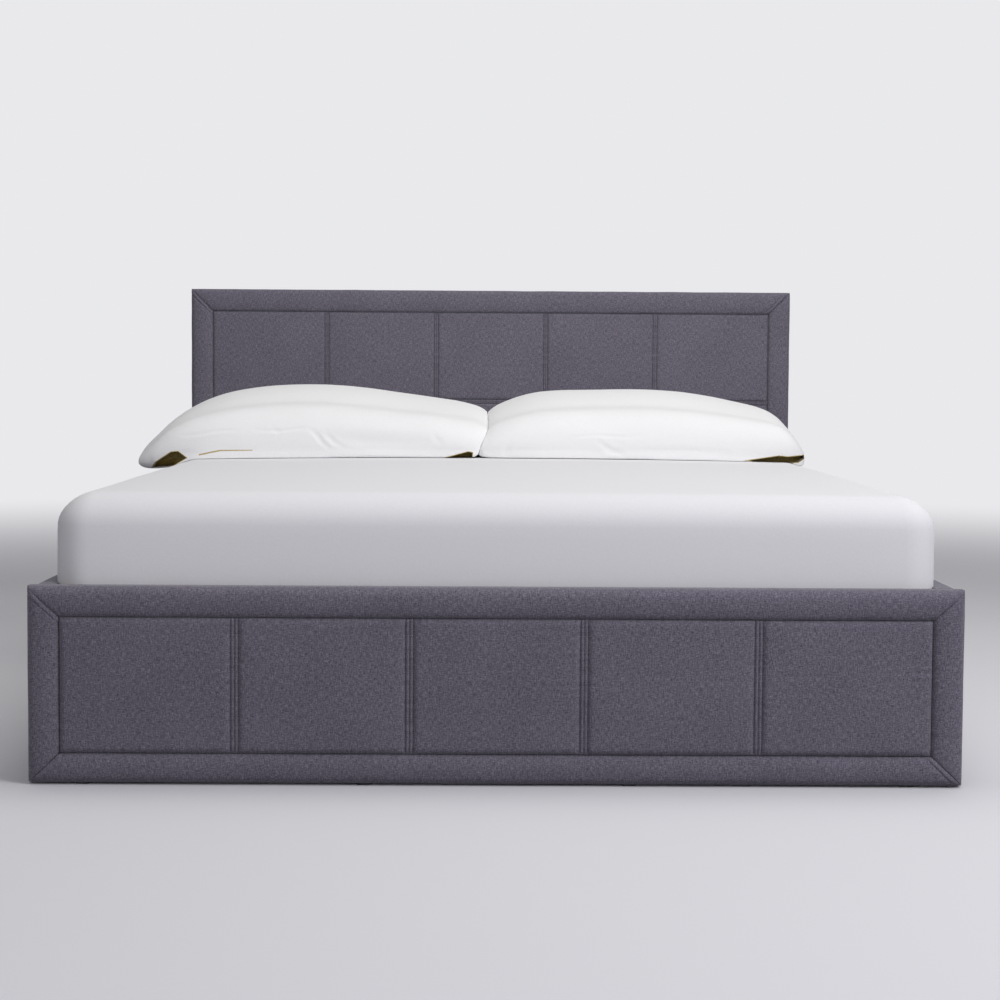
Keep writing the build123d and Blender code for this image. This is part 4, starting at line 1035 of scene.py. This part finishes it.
# Openings of the cases seen from the front: depth of the pocket, then its outline as (x, z)
pillowOpenings = {
    "left": (
        (0.035, (-0.809, 0.469), (-0.796, 0.484), (-0.758, 0.509), (-0.740, 0.5105),
         (-0.718, 0.494), (-0.752, 0.474)),
        (0.008, (-0.690, 0.5000), (-0.640, 0.5105), (-0.564, 0.5120), (-0.564, 0.5140),
         (-0.642, 0.5135), (-0.692, 0.5030)),
        (0.035, (-0.165, 0.4905), (-0.111, 0.4990), (-0.056, 0.5140), (-0.044, 0.5110),
         (-0.046, 0.4960), (-0.066, 0.4850)),
    ),
    "right": (
        (0.035, (0.597, 0.4960), (0.680, 0.5085), (0.700, 0.5060), (0.742, 0.5095),
         (0.748, 0.5020), (0.727, 0.4900), (0.656, 0.4880)),
    ),
}
pillowHem = {"width": 0.0016, "margin": 0.01}


def evenForm(node, voxel):
    # A copy of a CAD node with even faces, which cloth can be worked out on.
    mesh = bpy.data.meshes.new(node + " form")
    bm = mergedNode(node)
    bm.to_mesh(mesh)
    bm.free()
    form = bpy.data.objects.new(node + " form", mesh)
    scene.collection.objects.link(form)
    remesh = form.modifiers.new("even faces", "REMESH")
    remesh.mode = "VOXEL"
    remesh.voxel_size = voxel
    shaped = form.evaluated_get(bpy.context.evaluated_depsgraph_get())
    even = bpy.data.meshes.new_from_object(shaped)
    form.modifiers.clear()
    form.data = even
    return form


def inflate(form):
    mesh = form.data
    before = [v.co.copy() for v in mesh.vertices]
    pins = form.vertex_groups.new(name="resting")
    pins.add([v.index for v in mesh.vertices if v.normal.z < -0.75], 1.0, "REPLACE")
    cloth = form.modifiers.new("filling", "CLOTH")
    for name, value in pillowFilling.items():
        setattr(cloth.settings, name, value)
    cloth.settings.effector_weights.gravity = 0
    cloth.settings.vertex_group_mass = pins.name
    cloth.collision_settings.use_collision = False
    for number in range(1, pillowShape["frames"] + 1):
        scene.frame_set(number)
    shaped = form.evaluated_get(bpy.context.evaluated_depsgraph_get()).data
    moved = [v.co.copy() for v in shaped.vertices]
    form.modifiers.clear()
    form.vertex_groups.clear()
    for vert, old, new in zip(mesh.vertices, before, moved):
        step = new - old
        if step.length > pillowShape["cap"]:
            step *= pillowShape["cap"] / step.length
        vert.co = old + step
    scene.frame_set(1)


def creaseDepth(co, crease):
    (x0, z0), (x1, z1), depth, half = crease
    run = Vector((x1 - x0, z1 - z0))
    share = clamp(((co.x - x0) * run.x + (co.z - z0) * run.y) / run.length_squared)
    bend = 0.0022 * math.sin(share * 7 + x0 * 30)
    gap = math.hypot(co.x - x0 - run.x * share, co.z - z0 - run.y * share - bend)
    ends = math.sin(math.pi * min(0.98, max(0.02, share))) ** 0.5
    groove = bell(gap, half) - 0.35 * bell(gap - half * 2.1, half)
    return depth * ends * groove


def smoothAll(bm, times):
    for i in range(times):
        bmesh.ops.smooth_vert(
            bm, verts=bm.verts, factor=0.5, use_axis_x=True, use_axis_y=True, use_axis_z=True
        )


def pressTogether(bm, side):
    # The inner end is pushed flat against the other pillow, and its front corner drawn back.
    sign = 1 if side == "left" else -1
    end = max(sign * v.co.x for v in bm.verts)
    for vert in bm.verts:
        co = vert.co
        lowFront = clamp((0.565 - co.z) / 0.07) * clamp((0.56 - co.y) / 0.1)
        plane = pillowMeeting["x"] - pillowMeeting["tuck"] * lowFront
        away = end - sign * co.x
        shift = sign * plane - end + pillowMeeting["press"]
        co.x += sign * shift * bell(away, pillowMeeting["reach"])
        if sign * co.x > sign * plane - pillowMeeting["gap"]:
            co.x = plane - sign * pillowMeeting["gap"]


def sheetBelow(tree, co):
    return tree.ray_cast(Vector((co.x, co.y, co.z + 0.2)), Vector((0, 0, -1)), 0.3)[0]


def settle(bm, tree):
    # What is near the sheet is squashed onto it, and the front hem hangs straight down to it.
    reach, column = pillowShape["settle"], pillowShape["column"]
    hemReach, hemHeight = pillowShape["hemReach"], pillowShape["hemHeight"]
    fronts = {}
    for vert in bm.verts:
        place = round(vert.co.x / column)
        fronts[place] = min(fronts.get(place, 9), vert.co.y)
    for vert in bm.verts:
        co = vert.co
        left = math.floor(co.x / column)
        share = co.x / column - left
        near = [fronts.get(left + i, fronts[round(co.x / column)]) for i in (0, 1)]
        behind = co.y - near[0] * (1 - share) - near[1] * share
        rest = sheetBelow(tree, co)
        if rest is not None and behind < hemReach and vert.normal.z < 0.3:
            height = max(0, 1 - max(0, co.z - rest.z) / hemHeight)
            drawn = min(1, height * 1.8) * (1 - behind / hemReach) ** 0.5
            co.y -= max(0, behind - 0.002) * drawn
    for vert in bm.verts:
        co = vert.co
        rest = sheetBelow(tree, co)
        if rest is None or vert.normal.z > 0.3:
            continue
        gap = (co.z - rest.z) / reach
        if gap < 1:
            co.z = rest.z + pillowShape["settledGap"] + reach * max(0, gap) ** 2


def within(x, z, outline):
    inside = False
    for (x0, z0), (x1, z1) in zip(outline, outline[1:] + outline[:1]):
        if (z0 > z) != (z1 > z) and x < x0 + (z - z0) * (x1 - x0) / (z1 - z0):
            inside = not inside
    return inside


def openCase(bm, outline, depth):
    # Faces inside the outline are cut free, edged with a hem and sunk into the pillow.
    margin = pillowHem["margin"]
    left, right = min(p[0] for p in outline) - margin, max(p[0] for p in outline) + margin
    low, high = min(p[1] for p in outline) - margin, max(p[1] for p in outline) + margin
    for (x0, z0), (x1, z1) in zip(outline, outline[1:] + outline[:1]):
        bm.normal_update()
        parts = {}
        for face in bm.faces:
            middle = face.calc_center_median()
            if face.normal.y < -0.02 and left < middle.x < right and low < middle.z < high:
                parts.update(dict.fromkeys([face, *face.edges, *face.verts]))
        across = (z0 - z1, 0, x1 - x0)
        bmesh.ops.bisect_plane(
            bm, geom=list(parts), dist=1e-5, plane_co=(x0, 0, z0), plane_no=across
        )
    bm.normal_update()
    chosen = []
    for face in bm.faces:
        middle = face.calc_center_median()
        if face.normal.y < -0.02 and middle.y < 0.5 and within(middle.x, middle.z, outline):
            chosen.append(face)
    if not chosen:
        print("no faces inside an opening at", round(left, 3))
        return
    hem = bmesh.ops.inset_region(
        bm, faces=chosen, thickness=pillowHem["width"], use_even_offset=True, use_boundary=True
    )
    # the hem strip takes the gold lightened with painted highlight
    for face in hem["faces"]:
        face.material_index = 2
    moved = vertsOf(bmesh.ops.extrude_face_region(bm, geom=chosen))
    bmesh.ops.delete(bm, geom=chosen, context="FACES")
    bmesh.ops.translate(bm, vec=(0, depth, 0), verts=moved)
    for vert in moved:
        # the pocket's walls and floor take the gold lining darkened with painted shade
        for face in vert.link_faces:
            face.material_index = 1
    for face in bm.faces:
        if face.material_index:
            for edge in face.edges:
                edge.smooth = False


def dressPillow(side, tree):
    node = "pillow_" + side
    form = evenForm(node, pillowShape["voxel"])
    inflate(form)
    bm = bmesh.new()
    bm.from_mesh(form.data)
    bpy.data.objects.remove(form)
    smoothAll(bm, pillowShape["smooth"])
    pressTogether(bm, side)
    bmesh.ops.recalc_face_normals(bm, faces=bm.faces)
    bm.normal_update()
    settle(bm, tree)
    bm.normal_update()
    top = pillowShape["frontTop"]
    front = [f for f in bm.faces if f.normal.y < -0.25 and f.calc_center_median().z < top]
    edges = list(dict.fromkeys(e for f in front for e in f.edges))
    bmesh.ops.subdivide_edges(bm, edges=edges, cuts=2, use_grid_fill=True, smooth=0.6)
    bmesh.ops.recalc_face_normals(bm, faces=bm.faces)
    bm.normal_update()
    slowLump, quickLump = pillowShape["lumps"]
    for vert in bm.verts:
        co, n = vert.co, vert.normal
        facing = max(0, -n.y)
        depth = sum(creaseDepth(co, crease) for crease in pillowCreases[side]) * facing
        depth += waver(co.x * 4, co.y * 7, co.z * 8) * slowLump
        depth += waver(co.x * 15, co.y * 18, co.z * 20) * quickLump
        if n.z > -0.3:
            vert.co = co - n * depth * min(1, abs(co.x - pillowMeeting["x"]) / 0.02)
    bm.normal_update()
    for edge in bm.edges:
        # the hem's lower edge is a crisp fold where it meets the bed
        slopes = sorted(f.normal.z for f in edge.link_faces)
        if len(slopes) == 2 and slopes[0] < -0.7 and slopes[1] > -0.6:
            edge.smooth = False
    for depth, *outline in pillowOpenings[side]:
        openCase(bm, outline, depth)
    piece = addPiece(node + "_case", bm, pillowCotton, "platform", [node])
    # the case's second material is the gold lining darkened with painted shade
    piece.data.materials.append(shadedGoldLining)
    # its third material is the gold hem lightened with painted highlight
    piece.data.materials.append(litGoldHem)


sheetTree = BVHTree.FromPolygons(
    [v.co for v in sheetPiece.data.vertices], [p.vertices for p in sheetPiece.data.polygons]
)
for side in ("left", "right"):
    dressPillow(side, sheetTree)
print("pillows ready")


# Pull strap: folded webbing sewn into a loop
strap = {
    "flatLength": 0.15,
    "thickness": 0.002,
    "loopDepth": 0.006,
    "sewn": (0.002, 0.012),
    "stepAcross": 0.005,
    "stepUp": 0.006,
}


def dressStrap():
    low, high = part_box("pull_strap")
    loopBack = low.y + strap["loopDepth"]
    radius = (loopBack - low.y) / 2
    bm = bmesh.new()
    bmesh.ops.create_circle(bm, cap_ends=False, segments=16, radius=radius)
    bmesh.ops.rotate(bm, matrix=Matrix.Rotation(math.radians(90), 3, "Y"), verts=bm.verts)
    bmesh.ops.translate(bm, vec=(low.x, low.y + radius, low.z + radius), verts=bm.verts)
    rise = high.z - low.z - 2 * radius
    upper = [v for v in bm.verts if v.co.z > low.z + radius + 1e-5]
    bmesh.ops.translate(bm, vec=(0, 0, rise), verts=upper)
    ring = vertsOf(bmesh.ops.extrude_edge_only(bm, edges=bm.edges))
    bmesh.ops.translate(bm, vec=(high.x - low.x, 0, 0), verts=ring)
    bmesh.ops.recalc_face_normals(bm, faces=bm.faces)
    bmesh.ops.solidify(bm, geom=bm.faces[:], thickness=strap["thickness"])
    sewnLow, sewnHigh = (low.z + rise for rise in strap["sewn"])
    tail = startBox((low.x, loopBack - strap["thickness"], sewnLow), (high.x, high.y, sewnHigh))
    slicePlanes(tail, 0, evenPlaces(low.x, high.x, strap["stepAcross"]))
    joinInto(bm, tail)
    slicePlanes(bm, 2, evenPlaces(low.z, high.z, strap["stepUp"]))
    piece = addPiece("pull_strap_loop", bm, webbingStrap, "platform", ["pull_strap"])


dressStrap()
print("pull strap ready")


# Carried-over CAD nodes take the finish of their slot
for part in frame["record"]["subparts"]:
    item = nodes[part["node"]]
    for i in range(len(item.data.materials)):
        item.data.materials[i] = cadFinishes[part["material_slot"]]
print("frame nodes finished")
